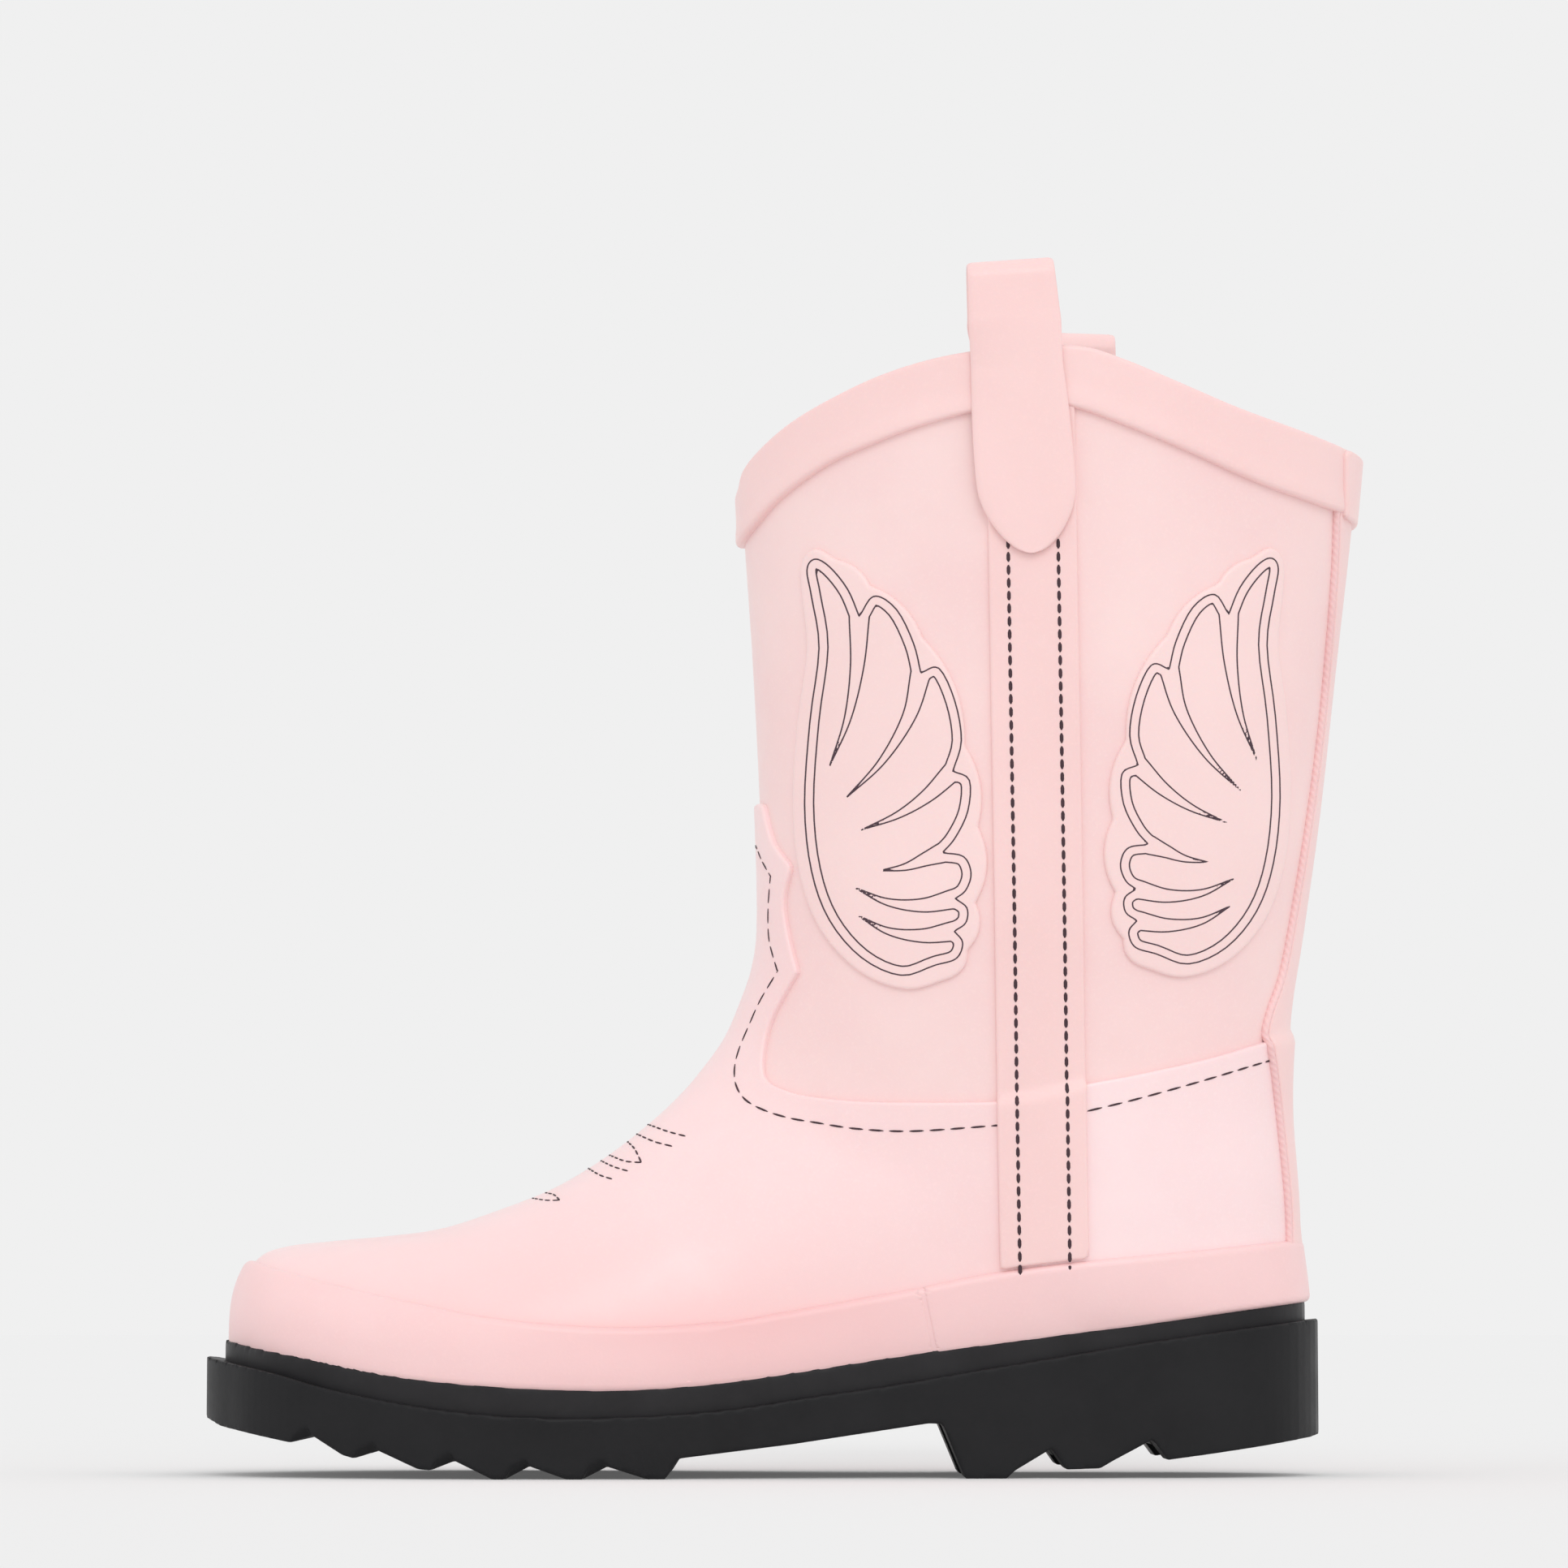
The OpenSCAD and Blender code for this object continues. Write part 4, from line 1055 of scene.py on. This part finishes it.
# bottom of the plate the lugs stand on
PLATE = [
    (112, 8.2), (104, 7.1), (101, 9.9), (96, 9.5), (78, 7.5), (56, 6.5), (34.5, 10.4), (6, 6.6),
    (-15.9, 4.2), (-31.5, 3.4), (-46.2, 3.6), (-60.4, 4.9), (-75.3, 6.8), (-88.1, 9.8), (-95, 11),
    (-99, 8.4), (-105, 9.6), (-112, 12.3),
]
# middle row, set half a lug back
MIDDLE = [
    (118, 9.3), (96, 6.2), (86, 4.8), (84, 8.5), (77, 8), (75, 3.5), (66, 2.2), (64, 7), (58, 6.8),
    (56, 1.2), (45, 0.6), (43, 9), (34.5, 10.4), (6, 6.6), (0, 5.2), (-2, 1), (-12, 0.6), (-14, 4.2),
    (-23, 4), (-25, 0.4), (-29, 0.4), (-38, 3.5), (-40, 0.4), (-43, 0.4), (-53, 4), (-55, 1),
    (-58, 1.2), (-67.5, 5.6), (-69.5, 2.6), (-72, 3), (-82, 8), (-84, 5.4), (-88, 6.4), (-96.5, 8.2),
    (-105, 9.8), (-112, 12.5),
]


def foot_outline():
    """Where the body meets the sole, seen from above."""
    low, high = 7.0, 8.0
    for _ in range(30):
        m = (low + high) / 2
        x, z = spline(KEEL, m)
        low, high = (m, high) if z > height_at(FOOT, x) else (low, m)
    u = np.arange(1, OUTLINE_STEPS + 1) / OUTLINE_STEPS
    t = low + (19.9 - low) * (u - np.sin(2 * np.pi * u) / (2 * np.pi) * 0.8)
    halves = []
    for sign in (1, -1):
        a, b = np.full(len(t), 40.0), np.full(len(t), 180.0)
        for _ in range(30):
            m = (a + b) / 2
            point = surface(t, sign * m)
            above = point[:, 2] > height_at(FOOT, point[:, 0])
            a, b = np.where(above, m, a), np.where(above, b, m)
        halves.append(surface(t, sign * (a + b) / 2)[:, :2])
    return np.concatenate([[(spline(KEEL, low)[0], 0)], halves[0], halves[1][::-1]])


def grown(d, tip, heel):
    """The foot's outline moved outwards by d, tip further at the toe and heel less at the heel."""
    v = np.roll(outline, -4, 0) - np.roll(outline, 4, 0)
    u = np.stack([v[:, 1], -v[:, 0]], -1)
    u /= np.linalg.norm(u, axis=1, keepdims=True)
    x = outline[:, 0]
    return outline - u * (d + tip * ease((-60 - x) / 40) - heel * ease((x - 60) / 35))[:, None]


def prism(outline, low, high, axis):
    """A closed prism: an (x, y) outline up Z, or an (x, z) outline along Y."""
    n = len(outline)
    points = [((x, y, h) if axis == "Z" else (x, h, y)) for h in (low, high) for x, y in outline]
    faces = [list(range(n)), list(range(2 * n - 1, n - 1, -1))]
    faces += [[i, i + n, (i + 1) % n + n, (i + 1) % n] for i in range(n)]
    return solid(points, faces)


def solid(points, faces):
    """A closed object with its faces turned outwards."""
    mesh = mesh_of("solid", points, faces)
    face_outwards(mesh)
    return linked("solid", mesh)


def notch_cutter(foot, peak, slope, edge, side):
    """A wedge that bevels the outer edge of the sole over the line from foot to slope."""
    middle = [(a + b) / 2 for a, b in zip(foot, slope)]
    reach = 1 + 3 / NOTCH_DEPTH
    far = [m + (p - m) * reach for m, p in zip(middle, peak)]
    low, high = (foot[0], foot[1] - 0.1), (slope[0], slope[1] - 0.1)
    out, inward = edge + side * 3, edge - side * NOTCH_DEPTH
    points = [(q[0], out, q[1]) for q in (low, far, high)]
    points += [(q[0], inward, q[1]) for q in (low, high)]
    return solid(points, [(0, 1, 2), (0, 2, 4, 3), (0, 3, 1), (2, 1, 4), (1, 3, 4)])


def apply_all(obj):
    """Replaces obj's mesh by what its modifiers make."""
    bpy.context.view_layer.update()
    graph = bpy.context.evaluated_depsgraph_get()
    made = bpy.data.meshes.new_from_object(obj.evaluated_get(graph))
    obj.modifiers.clear()
    obj.data = made


def combine(obj, other, operation):
    m = obj.modifiers.new("cut", "BOOLEAN")
    m.operation, m.solver, m.object = operation, "EXACT", other
    apply_all(obj)
    bpy.data.objects.remove(other)


def moulded(obj, name, voxel, passes, material, body, node):
    """Rounds every edge a little, as a moulding has them, and puts obj in place of a node."""
    obj.name = name
    m = obj.modifiers.new("voxels", "REMESH")
    m.mode, m.voxel_size, m.use_smooth_shade = "VOXEL", voxel * MM, True
    m = obj.modifiers.new("soft", "SMOOTH")
    m.factor, m.iterations = 0.5, passes
    apply_all(obj)
    obj.data.polygons.foreach_set("use_smooth", [True] * len(obj.data.polygons))
    obj.data.materials.clear()
    obj.data.materials.append(material)
    stand_for(obj, node, body)


outline = foot_outline()
rim = grown(*SOLE_RIM)
sole = prism(rim, BLOCK_LOW, BLOCK_HIGH, "Z")
ledge_top = [tuple(q) for q in smooth_line(LEDGE)]
combine(sole, prism(ledge_top + TREAD, -BLOCK_SIDE, BLOCK_SIDE, "Y"), "INTERSECT")
for y in (-ROW_Y, ROW_Y):
    below = PLATE + [(-112, BLOCK_LOW), (112, BLOCK_LOW)]
    combine(sole, prism(below, y - GROOVE_W / 2, y + GROOVE_W / 2, "Y"), "DIFFERENCE")
below = MIDDLE + [(-112, BLOCK_LOW), (118, BLOCK_LOW)]
half = ROW_Y - GROOVE_W / 2
combine(sole, prism(below, -half - 0.01, half + 0.01, "Y"), "DIFFERENCE")
for side in (OUTER, INNER):
    flank = rim[rim[:, 1] * side > 5]
    flank = flank[np.argsort(flank[:, 0])]
    for foot, peak, slope in NOTCHES:
        edge = np.interp(peak[0], flank[:, 0], flank[:, 1])
        combine(sole, notch_cutter(foot, peak, slope, edge, side), "DIFFERENCE")
moulded(sole, "lugged_sole", 0.45, 1, sole_black, "boot", "outsole")

midsole = prism(grown(*MIDSOLE_RIM), 0, BLOCK_HIGH, "Z")
low_edge = [(x, z - 1.5) for x, z in smooth_line(LEDGE)]
between = list(smooth_line(LIP)) + low_edge[::-1]
combine(midsole, prism(between, -BLOCK_SIDE, BLOCK_SIDE, "Y"), "INTERSECT")
moulded(midsole, "midsole_layer", 0.6, 7, midsole_black, "boot", "midsole")

# ---- inside the boot

INSOLE_LOW, INSOLE_T = 3.5, 3.0
insole = prism(grown(*INSOLE_RIM), 0, BLOCK_HIGH, "Z")
top = [(x, z + INSOLE_LOW + INSOLE_T) for x, z in smooth_line(FOOT)]
bottom = [(x, z + INSOLE_LOW) for x, z in smooth_line(FOOT)]
combine(insole, prism(top + bottom[::-1], -BLOCK_SIDE, BLOCK_SIDE, "Y"), "INTERSECT")
moulded(insole, "insole_pad", 0.9, 6, insole_cloth, "loose_insole", "insole")

for node, material in (
    ("insole_board", board_brown), ("lining_sole", lining_cloth),
    ("toe_puff", stiffener_sheet), ("heel_stiffener", stiffener_sheet),
):
    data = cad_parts[node].data
    data.materials.clear()
    data.materials.append(material)

# ---- floor, light and camera

FLOOR_HALF = 40.0
floor_mesh = bpy.data.meshes.new("floor")
corners = [(x * FLOOR_HALF, y * FLOOR_HALF, 0) for x, y in ((-1, -1), (1, -1), (1, 1), (-1, 1))]
floor_mesh.from_pydata(corners, [], [(0, 1, 2, 3)])
floor = linked("floor", floor_mesh)
floor_nodes = Nodes("floor_paint")
floor_nodes.set(Specular_IOR_Level=0.0, Emission_Color=(1, 1, 1, 1), Emission_Strength=0.1)
floor_mesh.materials.append(floor_nodes.done(
    floor_nodes.mixed(floor_nodes.noise(3), (0.742, 0.742, 0.742), (0.75, 0.75, 0.75)),
    floor_nodes.spread(floor_nodes.noise(5), 0, 1, 0.9, 1),
    floor_nodes.bump(floor_nodes.noise(90), 0.05, 0.1),
))

SKY = 0.871
world = bpy.data.worlds.new("studio")
bpy.context.scene.world = world
world.use_nodes = True
backdrop = world.node_tree.nodes["Background"]
backdrop.inputs["Color"].default_value = (SKY, SKY, SKY, 1)
backdrop.inputs["Strength"].default_value = 1.0


def sun(name, strength, spread, azimuth, elevation):
    """A broad soft light from the direction (azimuth, elevation) as seen from the boot."""
    light = bpy.data.lights.new(name, "SUN")
    light.energy = strength
    light.angle = math.radians(spread)
    obj = linked(name, light)
    a, e = math.radians(azimuth), math.radians(elevation)
    back = Vector((math.sin(a) * math.cos(e), -math.cos(a) * math.cos(e), math.sin(e)))
    obj.rotation_mode = "QUATERNION"
    obj.rotation_quaternion = (-back).to_track_quat("-Z", "Y")


sun("key_left", 0.16, 60, -38, 35)
sun("key_right", 0.24, 60, 42, 36)
sun("key_front", 0.4, 24, 6, 38)

view = bpy.context.scene.view_settings
view.view_transform = "Standard"
view.look = "None"

CAMERA_AT = (-0.0011, -1.2, 0.0281)
CAMERA_TILT = math.atan(674 / 7500)  # upwards from level
camera_data = bpy.data.cameras.new("camera")
camera = linked("camera", camera_data)
bpy.context.scene.camera = camera
camera_data.sensor_width = 36
camera_data.lens = 139.75
camera_data.clip_start, camera_data.clip_end = 0.05, 100
camera.location = CAMERA_AT
camera.rotation_euler = (math.radians(90) + CAMERA_TILT, 0, 0)
